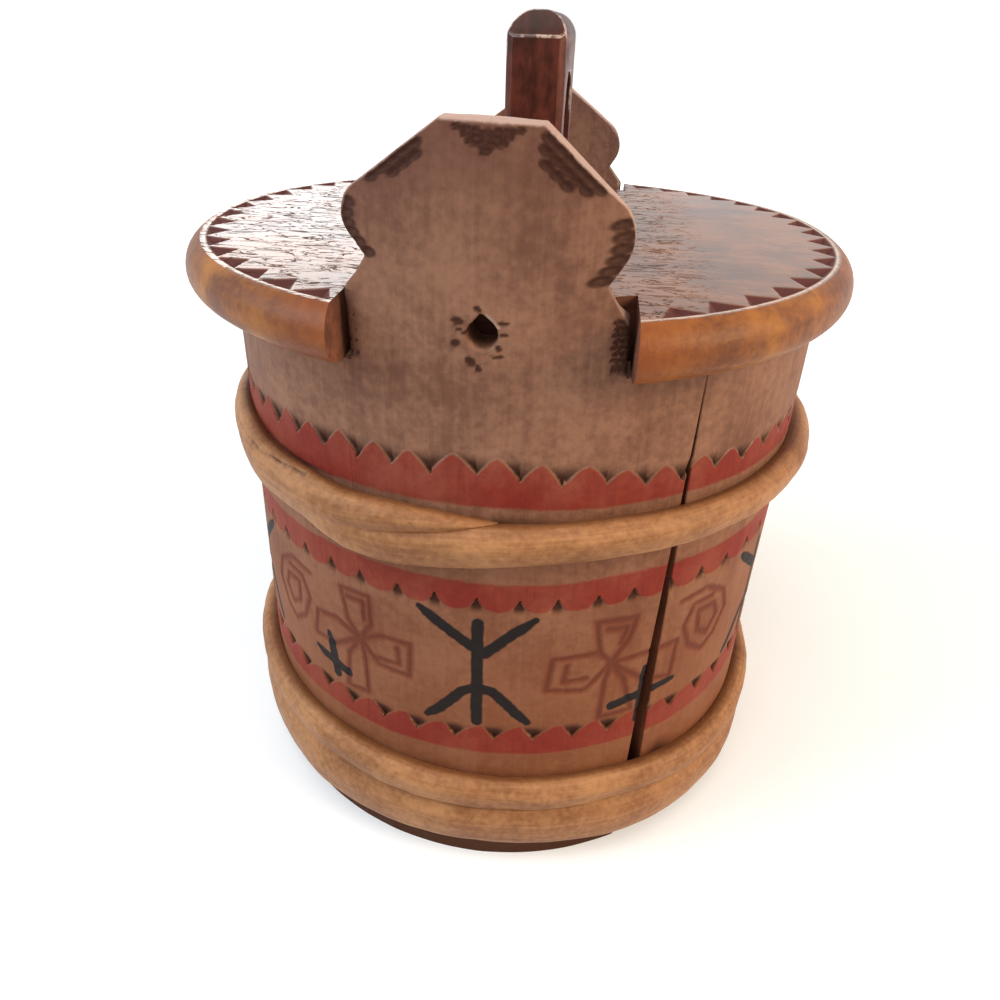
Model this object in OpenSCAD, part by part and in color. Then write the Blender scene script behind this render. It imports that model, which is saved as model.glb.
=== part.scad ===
// Round coopered tine box: staves held by withy hoops, two ears that stand
// above the rim, and a lift-off lid with a bow handle. The front ear faces -Y,
// the tub stands on Z = 0, and every size is in millimetres.

/* [Tub] */
// Outside diameter at the foot
base_d = 205; // [190:1:225]
// Outside diameter at the rim of the side staves
rim_d = 198; // [186:1:215]
// Height of the side staves
rim_h = 190; // [160:1:220]
// Thickness of every stave
stave_t = 11; // [9:0.5:13]
// Staves on each side, between the two ear staves
side_staves = 4; // [3:1:5]
// Left edge of an ear stave, in degrees from its ear
ear_stave_left = 22.6; // [22.4:0.2:24]
// Right edge of an ear stave, in degrees from its ear
ear_stave_right = 35.2; // [30:0.2:38]
// Clearance between neighbouring staves
stave_gap = 0.2; // [0.1:0.05:0.4]
// Bevel inside the foot of the staves
chime_bevel = 3; // [1:0.5:4]

/* [Open seam] */
// Width of the dried-out seam beside the front stave, at the foot
seam_open = 7; // [1:0.2:9]
// How far that seam leans towards the ear on its way down
seam_lean = 1.2; // [0:0.2:5]

/* [Bottom] */
// Height of the underside of the bottom board
bottom_z = 20; // [14:1:26]
// Thickness of the bottom board
bottom_t = 9; // [7:0.5:12]
// Thickness of the board where it enters the groove
bottom_edge_t = 5; // [4:0.5:6]
// Depth of the groove in the staves
croze_d = 4; // [3:0.5:5]
// Clearance between the board and its groove
croze_clear = 0.15; // [0.1:0.05:0.3]
// Width of the bevel along the edge of the board
bottom_bevel = 9; // [6:0.5:14]

/* [Hoops] */
// Height of the upper hoop
upper_hoop_h = 13.5; // [11:0.5:15]
// Top edge of the upper hoop
upper_hoop_z = 150; // [130:1:156]
// Height of the upper of the two foot hoops
foot_top_h = 12.5; // [10:0.5:14]
// Height of the lower of the two foot hoops
foot_low_h = 12.5; // [10:0.5:14]
// Top edge of the foot hoops
foot_hoop_z = 44.5; // [40:0.5:50]
// How far a hoop stands out from the staves
hoop_t = 7; // [5:0.5:8]
// Clearance between a hoop and the staves
hoop_clear = 0.15; // [0.05:0.05:0.3]
// Clearance between the two foot hoops
hoop_part = 0.3; // [0.1:0.1:0.6]
// Length of the lapped joint in a hoop, in degrees
lap_angle = 52; // [36:1:60]
// Width of the joint line between the lapped ends
lap_kerf = 0.5; // [0.3:0.1:0.8]
// Middle of the lap in the upper hoop, in degrees from the front ear
upper_lap_at = -24; // [-40:1:40]
// Middle of the lap in the upper foot hoop
foot_top_lap_at = 128; // [100:1:160]
// Middle of the lap in the lower foot hoop
foot_low_lap_at = -142; // [-170:1:-100]

/* [Ears] */
// Width of an ear where it passes the lid
ear_w = 71.5; // [66:0.5:73]
// Height of the front ear above the top of the lid
ear_h = 41.3; // [36:0.5:48]
// Width of the flat top of the front ear
ear_top_w = 25; // [16:1:32]
// Half width of the front ear at its widest lobe
ear_lobe_x = 34.4; // [32:0.2:35]
// Height of that lobe above the lid
ear_lobe_z = 19.5; // [17:0.5:21]
// Half width of the front ear at its notch
ear_notch_x = 29.2; // [27:0.2:30]
// Height of that notch above the lid
ear_notch_z = 8.9; // [6:0.5:10]
// Radius of the lobes of both ears
lobe_r = 9.2; // [8:0.2:10]
// How far the back ear sits to the right of the middle
back_ear_off = 2.6; // [0:0.2:4]
// Width of the back ear where it passes the lid
back_ear_w = 66; // [62:0.5:67]
// Height of the back ear above the top of the lid
back_ear_h = 37.5; // [32:0.5:44]
// Width of the flat top of the back ear
back_top_w = 12; // [8:1:20]
// Half width of the back ear at its widest lobe
back_lobe_x = 30.4; // [29:0.2:32]
// Height of that lobe above the lid
back_lobe_z = 15.5; // [14:0.5:18]
// Half width of the back ear at its notch
back_notch_x = 26.8; // [25:0.2:28]
// Height of that notch above the lid
back_notch_z = 7; // [5:0.5:8]
// Diameter of the peg hole in the front ear
peg_hole_d = 8; // [5:0.5:10]
// Depth of the peg hole below the top of the lid
peg_hole_down = 5.5; // [3:0.5:9]

/* [Lid] */
// Thickness of the lid board
lid_t = 17; // [14:0.5:20]
// Diameter of the lid over its rounded rim
lid_d = 223; // [215:1:235]
// Radius of the rounded rim
rim_round = 9.3; // [8.9:0.1:12]
// Play between the left edge of an ear and its notch in the lid
notch_play_left = 0.4; // [0.3:0.1:1]
// Play between the right edge of an ear and its notch in the lid
notch_play_right = 1.6; // [0.4:0.1:2.5]
// Play between the inner face of an ear and its notch in the lid
notch_play_back = 0.8; // [0.5:0.1:2]

/* [Battens] */
// Length of a batten
batten_l = 116; // [90:1:126]
// Width of a batten
batten_w = 15; // [12:0.5:18]
// Height of a batten
batten_h = 8; // [6:0.5:10]
// Distance of a batten from the middle of the lid
batten_x = 42; // [36:1:46]
// Slope cut off each end of a batten
batten_bevel = 6; // [3:0.5:8]
// Diameter of the pegs that hold the battens
batten_peg_d = 6; // [4:0.5:8]
// Distance of the pegs from the ends of a batten
batten_peg_in = 16; // [13:1:22]
// Depth of the pegs in the lid
batten_peg_deep = 9; // [6:0.5:12]

/* [Handle] */
// Length of the bow handle, front to back
bow_l = 70; // [60:1:90]
// Height of the bow above the lid
bow_h = 62; // [52:1:70]
// Thickness of the bow
bow_t = 16.5; // [13:0.5:20]
// Thickness of the bow over the fingers
bow_crown = 16; // [12:0.5:20]
// Length of the finger gap
gap_l = 40; // [34:1:46]
// Radius of the upper corners of the finger gap
gap_r = 13; // [6:0.5:16]
// Height of the sloping cut on the shoulders of the bow
shoulder_h = 6.2; // [3:0.2:12]
// Length of that cut
shoulder_l = 11; // [6:0.5:16]
// Radius of the crown seen from the front
crown_r = 7; // [4:0.2:8]
// Bevel on the upright edges of the bow
bow_bevel = 1.9; // [1:0.1:3]
// How far the bow stands to the right of the middle of the lid
bow_off = 4.8; // [0:0.2:6]
// Length of a tenon, along the bow
tenon_l = 10; // [8:0.5:11]
// Width of a tenon, across the bow
tenon_w = 9; // [7:0.5:11]
// Clearance round a tenon
tenon_clear = 0.15; // [0.05:0.05:0.3]
// Width of a wedge at its driven end
wedge_w = 2.2; // [1.4:0.1:3]
// Width of a wedge at its tip
wedge_tip = 0.8; // [0.5:0.1:1.2]
// Length of a wedge
wedge_l = 11; // [8:0.5:13]

/* [Hidden] */
SIDE = [for (side = ["right", "left"]) for (i = [1 : side_staves]) str(side, "_stave_", i)];
$fn = 96;
// Spare length of cutters past the faces that they cut
past = 2;
// How far the straight edges of an ear run into its lobes
blend_in = 0.15;
lid_top = rim_h + lid_t;
front_top = lid_top + ear_h;
back_top = lid_top + back_ear_h;
side_sweep = (180 - ear_stave_left - ear_stave_right) / side_staves;
edge_in = (bottom_t - bottom_edge_t) / 2;
croze_z = bottom_z + edge_in;
foot_low_z = foot_hoop_z - foot_top_h - hoop_part;
round_x = lid_d / 2 - rim_round;
leg_l = (bow_l - gap_l) / 2;
tenon_y = bow_l / 2 - leg_l / 2;
gap_h = bow_h - bow_crown;
reach = lid_d;

// Outside radius of the staves at height z
function body_r(z) = (base_d - (base_d - rim_d) * z / rim_h) / 2;

// Inside radius of the staves at height z
function inside_r(z) = body_r(z) - stave_t;

// Point where a line from p touches the circle at c, on the side given by turn
function touch(p, c, r, turn) =
    let (v = p - c, a = atan2(v[1], v[0]) + turn * acos(r / norm(v)))
    c + r * [cos(a), sin(a)];

// Section of a stave from the foot to the given height, with its groove
module stave_section(top) {
    polygon([
        [body_r(0), 0],
        [body_r(top), top],
        [inside_r(top), top],
        [inside_r(croze_z + bottom_edge_t), croze_z + bottom_edge_t],
        [inside_r(croze_z) + croze_d, croze_z + bottom_edge_t],
        [inside_r(croze_z) + croze_d, croze_z],
        [inside_r(croze_z), croze_z],
        [inside_r(2 * chime_bevel), 2 * chime_bevel],
        [inside_r(0) + chime_bevel, 0]
    ]);
}

// Slice of the staved wall from angle a to angle b, counted from the front ear
module wall(a, b, top) {
    rotate_extrude(angle = b - a, start = a - 90)
        stave_section(top);
}

// Stave from angle a to angle b, with half a gap left free along each edge
module stave(a, b, top) {
    half_gap = stave_gap / 2 / body_r(0) * 180 / PI;
    wall(a + half_gap, b - half_gap, top);
}

// Everything to the right of the dried-out seam, which starts at the rim and
// leans by the given distance on its way down
module right_of_seam(lean) {
    rotate([0, 0, ear_stave_right])
        translate([0, past, 0])
            rotate([90, 0, 0])
                linear_extrude(reach)
                    polygon([
                        [-lean, -past],
                        [0, rim_h],
                        [0, rim_h + past],
                        [reach, rim_h + past],
                        [reach, -past]
                    ]);
}

// What is cut away beside an ear, on the side given by s, with z counted from
// the lid top: the lobe is left standing by the circle
module beside_ear(s, half_w, top, top_w, lobe, notch) {
    lobe_c = [lobe[0] - lobe_r, lobe[1]];
    corner = [top_w / 2, top];
    upper = touch(corner, lobe_c, lobe_r - blend_in, -1);
    lower = touch(notch, lobe_c, lobe_r - blend_in, 1);
    line = [
        [half_w, -lid_t],
        [half_w, 0],
        notch,
        lower,
        lobe_c,
        upper,
        corner,
        [top_w / 2, top + past],
        [reach / 2, top + past],
        [reach / 2, -lid_t]
    ];
    difference() {
        polygon([for (p = line) [s * p[0], p[1]]]);
        translate([s * lobe_c[0], lobe_c[1]])
            circle(lobe_r);
    }
}

// Stave that carries an ear, on the front side
module ear_stave(off, half_w, top, top_w, lobe, notch) {
    difference() {
        stave(-ear_stave_left, ear_stave_right, lid_top + top);
        for (s = [-1, 1])
            translate([off, 0, lid_top])
                rotate([90, 0, 0])
                    linear_extrude(reach)
                        beside_ear(s, half_w, top, top_w, lobe, notch);
    }
}

module front_ear_stave() {
    color("#8a5f4a")
        difference() {
            ear_stave(0, ear_w / 2, ear_h, ear_top_w,
                [ear_lobe_x, ear_lobe_z], [ear_notch_x, ear_notch_z]);
            right_of_seam(seam_lean + seam_open);
            translate([0, stave_t - inside_r(rim_h), lid_top - peg_hole_down])
                rotate([90, 0, 0])
                    cylinder(d = peg_hole_d, h = 3 * stave_t);
        }
}

module back_ear_stave() {
    color("#8a5f4a")
        rotate([0, 0, 180])
            ear_stave(-back_ear_off, back_ear_w / 2, back_ear_h, back_top_w,
                [back_lobe_x, back_lobe_z], [back_notch_x, back_notch_z]);
}

// Stave number i of one side, counted from the right edge of an ear stave
module side_stave(side, i) {
    turn = side == "right" ? 0 : 180;
    a = ear_stave_right + (i - 1) * side_sweep;
    first = side == "right" && i == 1;
    more = first ? asin(seam_lean / inside_r(0)) : 0;
    color(i % 2 == 0 ? "#8f6450" : "#845a46")
        rotate([0, 0, turn])
            intersection() {
                stave(a - more, a + side_sweep, rim_h);
                if (first)
                    right_of_seam(seam_lean);
            }
}

// The board ends in a tongue that sits in the groove of the staves
module bottom_board() {
    edge_r = inside_r(croze_z) + croze_d - croze_clear;
    color("#a9825a")
        rotate_extrude()
            polygon([
                [0, bottom_z],
                [edge_r - croze_d - bottom_bevel, bottom_z],
                [edge_r - croze_d, croze_z + croze_clear],
                [edge_r, croze_z + croze_clear],
                [edge_r, croze_z + bottom_edge_t - croze_clear],
                [edge_r - croze_d, croze_z + bottom_edge_t - croze_clear],
                [edge_r - croze_d - bottom_bevel, bottom_z + bottom_t],
                [0, bottom_z + bottom_t]
            ]);
}

// Split withy bent round the staves: its flat side lies on them, and its ends
// lap on a long slant
module hoop(top, h, lap_at) {
    mid = top - h / 2;
    low = top - h;
    r = (pow(h / 2, 2) + pow(hoop_t, 2)) / (2 * hoop_t);
    lap_run = body_r(mid) * sin(lap_angle / 2);
    difference() {
        rotate_extrude()
            intersection() {
                translate([body_r(mid) + hoop_t - r, mid])
                    circle(r);
                polygon([
                    [body_r(low) + hoop_clear, low],
                    [body_r(mid) + hoop_t + past, low],
                    [body_r(mid) + hoop_t + past, top],
                    [body_r(top) + hoop_clear, top]
                ]);
            }
        rotate([0, 0, lap_at])
            translate([0, -body_r(mid), mid])
                rotate([0, -atan(h / 2 / lap_run), 0])
                    translate([-2 * lap_run, -hoop_t - past, -lap_kerf / 2])
                        cube([4 * lap_run, body_r(mid), lap_kerf]);
    }
}

module upper_hoop() {
    color("#c08a5a")
        hoop(upper_hoop_z, upper_hoop_h, upper_lap_at);
}

module foot_hoop_top() {
    color("#c08a5a")
        hoop(foot_hoop_z, foot_top_h, foot_top_lap_at);
}

module foot_hoop_low() {
    color("#b8834f")
        hoop(foot_low_z, foot_low_h, foot_low_lap_at);
}

// Notch that lets an ear through the lid, on the front side
module ear_notch(off, half_w, top, left, right) {
    difference() {
        translate([off - half_w - left, -reach, rim_h - past])
            cube([2 * half_w + left + right, reach, lid_t + 2 * past]);
        translate([0, 0, rim_h - 2 * past])
            cylinder(r = inside_r(top) - notch_play_back, h = lid_t + 4 * past);
    }
}

// Places its children where the two legs of the bow stand
module at_legs() {
    for (s = [-1, 1])
        translate([bow_off, s * tenon_y, 0])
            children();
}

// Places its children where the pegs of one batten stand
module at_pegs(x) {
    for (s = [-1, 1])
        translate([x, s * (batten_l / 2 - batten_peg_in), rim_h])
            children();
}

module lid_board() {
    color("#8f6440")
        difference() {
            rotate_extrude() {
                translate([0, rim_h])
                    square([round_x, lid_t]);
                intersection() {
                    translate([round_x, rim_h + lid_t / 2])
                        circle(rim_round);
                    translate([round_x - past, rim_h])
                        square([rim_round + 2 * past, lid_t]);
                }
            }
            ear_notch(0, ear_w / 2, front_top, notch_play_left, notch_play_right);
            rotate([0, 0, 180])
                ear_notch(-back_ear_off, back_ear_w / 2, back_top,
                    notch_play_right, notch_play_left);
            at_legs()
                translate([-tenon_w / 2 - tenon_clear, -tenon_l / 2 - tenon_clear, rim_h - past])
                    cube([tenon_w + 2 * tenon_clear, tenon_l + 2 * tenon_clear, lid_t + 2 * past]);
            for (s = [-1, 1])
                at_pegs(s * batten_x)
                    translate([0, 0, -past])
                        cylinder(d = batten_peg_d, h = batten_peg_deep + past);
        }
}

module batten(x) {
    difference() {
        translate([x - batten_w / 2, 0, rim_h])
            rotate([90, 0, 90])
                linear_extrude(batten_w)
                    polygon([
                        [-batten_l / 2, 0],
                        [batten_l / 2, 0],
                        [batten_l / 2 - batten_bevel, -batten_h],
                        [batten_bevel - batten_l / 2, -batten_h]
                    ]);
        at_pegs(x)
            translate([0, 0, -batten_h - past])
                cylinder(d = batten_peg_d, h = batten_h + 2 * past);
    }
}

module lid_batten_left() {
    color("#a9825a")
        batten(-batten_x);
}

module lid_batten_right() {
    color("#a9825a")
        batten(batten_x);
}

module batten_pegs() {
    color("#6f4a30")
        for (s = [-1, 1])
            at_pegs(s * batten_x)
                translate([0, 0, -batten_h])
                    cylinder(d = batten_peg_d, h = batten_h + batten_peg_deep);
}

// Outline of a wedge, or of the cut that takes it, driven up from below
module wedge_outline() {
    polygon([
        [-wedge_w / 2, 0],
        [wedge_w / 2, 0],
        [wedge_tip / 2, wedge_l],
        [-wedge_tip / 2, wedge_l]
    ]);
}

// Bow seen from the side, with y along the lid and z from the lid top
module bow_side() {
    half = bow_l / 2;
    difference() {
        polygon([
            [-half, 0],
            [-half, bow_h - shoulder_h],
            [-half + shoulder_l, bow_h],
            [half - shoulder_l, bow_h],
            [half, bow_h - shoulder_h],
            [half, 0]
        ]);
        translate([-gap_l / 2, -past])
            square([gap_l, gap_h - gap_r + past]);
        translate([-gap_l / 2 + gap_r, -past])
            square([gap_l - 2 * gap_r, gap_h + past]);
        for (s = [-1, 1])
            translate([s * (gap_l / 2 - gap_r), gap_h - gap_r])
                circle(gap_r);
    }
}

// Bow seen from the front: straight sides and a rounded crown
module bow_front() {
    half = bow_t / 2;
    translate([-half, 0])
        square([bow_t, bow_h - crown_r]);
    translate([-half + crown_r, 0])
        square([bow_t - 2 * crown_r, bow_h]);
    for (s = [-1, 1])
        translate([s * (half - crown_r), bow_h - crown_r])
            circle(crown_r);
}

// Bow seen from above: a bar with bevelled corners
module bow_plan() {
    w = bow_t / 2;
    l = bow_l / 2;
    polygon([
        [-w, bow_bevel - l],
        [bow_bevel - w, -l],
        [w - bow_bevel, -l],
        [w, bow_bevel - l],
        [w, l - bow_bevel],
        [w - bow_bevel, l],
        [bow_bevel - w, l],
        [-w, l - bow_bevel]
    ]);
}

module handle_bow() {
    color("#5a342c")
        difference() {
            union() {
                translate([bow_off, 0, lid_top])
                    intersection() {
                        translate([-bow_t / 2, 0, 0])
                            rotate([90, 0, 90])
                                linear_extrude(bow_t)
                                    bow_side();
                        translate([0, bow_l / 2, 0])
                            rotate([90, 0, 0])
                                linear_extrude(bow_l)
                                    bow_front();
                        linear_extrude(bow_h)
                            bow_plan();
                    }
                at_legs()
                    translate([-tenon_w / 2, -tenon_l / 2, rim_h])
                        cube([tenon_w, tenon_l, lid_t]);
            }
            at_legs()
                translate([-tenon_w / 2 - past, 0, rim_h])
                    rotate([90, 0, 90])
                        linear_extrude(tenon_w + 2 * past)
                            wedge_outline();
        }
}

module handle_wedges() {
    color("#c9a06c")
        at_legs()
            translate([-tenon_w / 2, 0, rim_h])
                rotate([90, 0, 90])
                    linear_extrude(tenon_w)
                        wedge_outline();
}

front_ear_stave();
back_ear_stave();
for (side = ["right", "left"])
    for (i = [1 : side_staves])
        side_stave(side, i);
bottom_board();
upper_hoop();
foot_hoop_top();
foot_hoop_low();
lid_board();
lid_batten_left();
lid_batten_right();
batten_pegs();
handle_bow();
handle_wedges();
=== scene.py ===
import math

import bmesh
import bpy
import numpy as np
from bpy.props import FloatProperty, FloatVectorProperty, PointerProperty
from mathutils import Matrix, Vector


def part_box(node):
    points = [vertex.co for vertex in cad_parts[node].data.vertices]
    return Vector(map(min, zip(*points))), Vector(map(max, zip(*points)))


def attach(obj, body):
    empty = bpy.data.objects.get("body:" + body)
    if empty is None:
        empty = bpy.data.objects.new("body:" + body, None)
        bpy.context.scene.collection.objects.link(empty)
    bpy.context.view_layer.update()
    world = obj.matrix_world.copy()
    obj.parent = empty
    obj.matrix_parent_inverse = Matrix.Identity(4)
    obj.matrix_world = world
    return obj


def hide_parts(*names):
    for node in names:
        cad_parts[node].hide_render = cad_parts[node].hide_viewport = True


bl_info = {
    "name": "Coopered tine box",
    "version": (1, 1, 0),
    "blender": (4, 5, 0),
    "location": "3D View > Sidebar > Tine",
    "description": "Dresses the tine box: carved staves, withy hoops, varnished lid and bow handle",
    "category": "Object",
}

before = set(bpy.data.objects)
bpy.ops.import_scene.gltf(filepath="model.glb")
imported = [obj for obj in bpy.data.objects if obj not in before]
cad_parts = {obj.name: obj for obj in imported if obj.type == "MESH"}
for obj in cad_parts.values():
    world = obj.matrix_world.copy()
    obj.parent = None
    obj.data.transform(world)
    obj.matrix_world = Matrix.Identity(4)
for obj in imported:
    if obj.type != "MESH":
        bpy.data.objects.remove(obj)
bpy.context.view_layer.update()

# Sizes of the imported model, in mm and degrees
MM = 0.001
DEG = math.pi / 180
FOOT_R = 102.5
RIM_R = 99.0
WALL = 11.0
RIM_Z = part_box("right_stave_2")[1].z / MM
LID_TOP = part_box("lid_board")[1].z / MM
LID_T = LID_TOP - RIM_Z
LID_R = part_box("lid_board")[1].x / MM - 0.05
BOARD_GROOVE = (22.0, 27.0, 4.0)
SIDE_STAVES = 4
STAVE_LEFT = 22.6
STAVE_RIGHT = 35.2
HALF_GAP = math.degrees(0.03 / FOOT_R)
SEAM_OPEN = 7.0
SEAM_LEAN = 1.2
MID_R = 101.0

# Each ear: half widths at the lid, notch, lobe and top with their heights
# above the lid, its shift from the middle, and how much is pared off its back
# at the sides. Bent: (height, sinks by, more so at the right, wider at the left,
# droop of the right edge).
FRONT_EAR = dict(half=35.75, notch=(29.2, 8.9), lobe=(34.4, 19.5), top=(12.5, 41.3), shift=0.0,
                 pared=8.6, bent=[(-12, 0, 0, 0, 0), (-2, 0, 0, 0, 4.1), (1.5, -0.6, 0.6, 0.9, 4.1),
                                  (5, 0.6, 2.0, 0.3, 1.2), (9, 0.6, 2.5, 0.5, 0),
                                  (19, 1.5, 1.2, 1.1, 0), (26, 1.35, 0.95, 1.2, 0),
                                  (41, 0.4, 1.0, -2.0, 0)])
BACK_EAR = dict(half=33.0, notch=(26.8, 7.0), lobe=(30.4, 15.5), top=(6.0, 37.5), shift=-2.6,
                pared=0.0, bent=[(0, 0, 0, 0, 0)])
LOBE_R = 9.2
PEG_HOLE = (0.0, LID_TOP - 5.5)
HOLE_WORN = [(-180, 4.3), (-135, 4.0), (-90, 4.1), (-45, 4.0), (0, 3.7), (35, 3.5), (60, 3.6),
             (80, 4.0), (98, 4.7), (118, 4.0), (135, 3.8), (155, 4.0), (180, 4.3)]

# Hoops as (angle, top, bottom, bulge) round the tub. The upper withy starts
# thin at the left, goes once round and ends in a point on top of its start.
UPPER_HOOP = [(-50, 142.0, 141.0, 0.3), (-42, 144.0, 138.5, 3.8), (-34, 145.6, 135.6, 5.8),
              (-28, 146.0, 133.2, 6.6), (-23, 146.0, 131.2, 7.0), (-18, 145.2, 130.9, 7.1),
              (-13, 145.2, 131.4, 7.2), (-8, 146.2, 132.6, 7.2), (-3, 147.4, 134.0, 7.2),
              (4, 148.4, 135.8, 7.2), (12, 148.8, 137.0, 7.2), (22, 149.6, 137.8, 7.2),
              (50, 148.6, 137.4, 7.2), (100, 149.6, 137.0, 7.2), (180, 150.5, 137.0, 6.8),
              (260, 153.0, 139.6, 6.0), (290, 155.2, 140.0, 5.6), (306, 154.4, 137.6, 6.4),
              (316, 152.4, 136.0, 7.4), (326, 152.0, 135.8, 7.5), (332, 151.3, 136.4, 7.6),
              (337, 150.7, 138.2, 7.6), (344, 151.2, 141.2, 7.3), (348, 151.0, 142.8, 6.9),
              (353, 150.4, 144.6, 6.2), (357, 149.7, 146.2, 4.8), (360.5, 148.8, 147.3, 3.0),
              (363, 148.0, 147.8, 0.6)]
FOOT_TOP = [(-180, 44.0, 31.0), (-120, 47.5, 34.0), (-90, 48.5, 34.8), (-30, 46.8, 33.4),
            (0, 44.2, 31.4), (25, 42.9, 30.2), (45, 38.8, 27.0), (60, 37.0, 25.4), (90, 36.5, 24.6),
            (135, 39.5, 27.0), (180, 44.0, 31.0)]
FOOT_LOW = [(-180, 31.2, 15.0), (-120, 34.2, 14.5), (-90, 35.0, 12.0), (-60, 34.4, 11.0),
            (-30, 33.4, 11.6), (0, 31.6, 12.4), (15, 31.0, 11.2), (28, 30.0, 8.8), (40, 28.0, 6.8),
            (60, 25.6, 6.4), (90, 24.8, 7.6), (135, 27.2, 12.0), (180, 31.2, 15.0)]
LAPS = {"foot_hoop_top": 128, "foot_hoop_low": -142}


def linear(code):
    """Linear RGBA of an sRGB hex colour."""
    parts = [int(code[i:i + 2], 16) / 255 for i in (1, 3, 5)]
    return tuple(c / 12.92 if c <= 0.04045 else ((c + 0.055) / 1.055) ** 2.4 for c in parts) + (1.0,)


def length_setting(name, words, value, low, high):
    """A length in metres for the sidebar."""
    return FloatProperty(name=name, description=words, default=value, min=low, max=high,
                         precision=5, unit="LENGTH", subtype="DISTANCE")


def colour_setting(name, words, code):
    """A colour for the sidebar."""
    return FloatVectorProperty(name=name, description=words, default=linear(code), size=4,
                               min=0, max=1, subtype="COLOR")


class TineSizes(bpy.types.PropertyGroup):
    """Sizes of the carving and of the painted marks"""

    tooth: length_setting("Tooth height", "Height of the carved teeth", 0.0064, 0.003, 0.009)
    chip: length_setting("Chip depth", "Depth of the chips beside the teeth", 0.0017, 0.0005, 0.003)
    stroke: length_setting("Stroke width", "Width of the dark strokes", 0.0037, 0.001, 0.005)
    score: length_setting("Scored line", "Depth of the lines of the crosses", 0.0004, 0, 0.001)
    rim_chip: length_setting("Rim chip depth", "Depth of the chips round the lid", 0.0019, 0.0005, 0.003)
    lean: length_setting("Lean", "How far the rim has warped to the right", 0.0023, 0, 0.004)


class TineColours(bpy.types.PropertyGroup):
    """Colours of the wood, the paint and the varnish"""

    stain_dark: colour_setting("Stain, dark", "Darker tone of the stained pine", "#6f4a3b")
    stain_light: colour_setting("Stain, light", "Lighter tone of the stained pine", "#9b715a")
    red: colour_setting("Red paint", "Oxide red of the friezes", "#7b251c")
    ink: colour_setting("Dark strokes", "Blue-black of the painted strokes", "#0b0c0f")
    withy_dark: colour_setting("Withy, dark", "Darker streaks of the hoops", "#80502f")
    withy_light: colour_setting("Withy, light", "Lighter streaks of the hoops", "#b58155")
    varnish: colour_setting("Lid varnish", "Golden brown of the lid", "#8a5532")
    handle: colour_setting("Handle paint", "Dark red-brown of the handle", "#693429")
    bare: colour_setting("Bare wood", "Unpainted wood inside the box", "#b48f66")


# Node helpers

COLOURS = {"data_type": "RGBA"}
SMOOTH = {"interpolation_type": "SMOOTHSTEP"}


def node(tree, kind, put=None, feed=None, out=0):
    """Adds a node with its settings and its inputs, a value or a socket each, and gives an output."""
    made = tree.nodes.new(kind)
    for key, value in (put or {}).items():
        setattr(made, key, value)
    for key, value in (feed or {}).items():
        if isinstance(value, bpy.types.NodeSocket):
            tree.links.new(value, made.inputs[key])
        else:
            made.inputs[key].default_value = value
    return made.outputs[out] if made.outputs else made


def new_material(name):
    """An empty node material, its tree and its place in the piece."""
    made = bpy.data.materials.new(name)
    made.use_nodes = True
    made.node_tree.nodes.clear()
    return made, made.node_tree, node(made.node_tree, "ShaderNodeTexCoord", out=3)


def pattern(tree, place, spread, stretch=(1, 1, 1), detail=3.0, twist=0.0):
    """Noise with a number of waves to the metre, stretched along an axis by a small factor."""
    laid = node(tree, "ShaderNodeMapping", feed={0: place, "Scale": stretch})
    return node(tree, "ShaderNodeTexNoise", feed={
        "Vector": laid, "Scale": spread, "Detail": detail, "Roughness": 0.6, "Distortion": twist})


def blend(tree, first, *others):
    """Mixes patterns, each of the others with its share."""
    for other, share in others:
        first = node(tree, "ShaderNodeMix", feed={0: share, 2: first, 3: other})
    return first


def layer(tree, below, colour, amount, low, high, strength=1.0):
    """Lays a colour over another where an amount goes from low to high."""
    cover = node(tree, "ShaderNodeMapRange", SMOOTH, {0: amount, 1: low, 2: high, 3: 0.0, 4: strength})
    return node(tree, "ShaderNodeMix", COLOURS, {0: cover, 6: below, 7: colour}, 2)


def ragged(tree, attribute, noise, size):
    """A stored distance with its edge made uneven by a noise, by about the size in mm."""
    stored = node(tree, "ShaderNodeAttribute", {"attribute_name": attribute}, out=2)
    uneven = {"operation": "MULTIPLY_ADD"}
    rough = node(tree, "ShaderNodeMath", uneven, {0: noise, 1: 2 * size, 2: -size})
    return node(tree, "ShaderNodeMath", {"operation": "ADD"}, {0: stored, 1: rough})


def surface(tree, colour, rough, height, lift, specular=0.5):
    """Ends a material with a principled surface and a bump of the given lift in metres."""
    bump = node(tree, "ShaderNodeBump", feed={"Height": height, "Distance": lift})
    shader = node(tree, "ShaderNodeBsdfPrincipled", feed={
        "Base Color": colour, "Roughness": rough, "IOR": 1.5, "Specular IOR Level": specular,
        "Normal": bump})
    node(tree, "ShaderNodeOutputMaterial", feed={"Surface": shader})


# Materials

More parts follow.
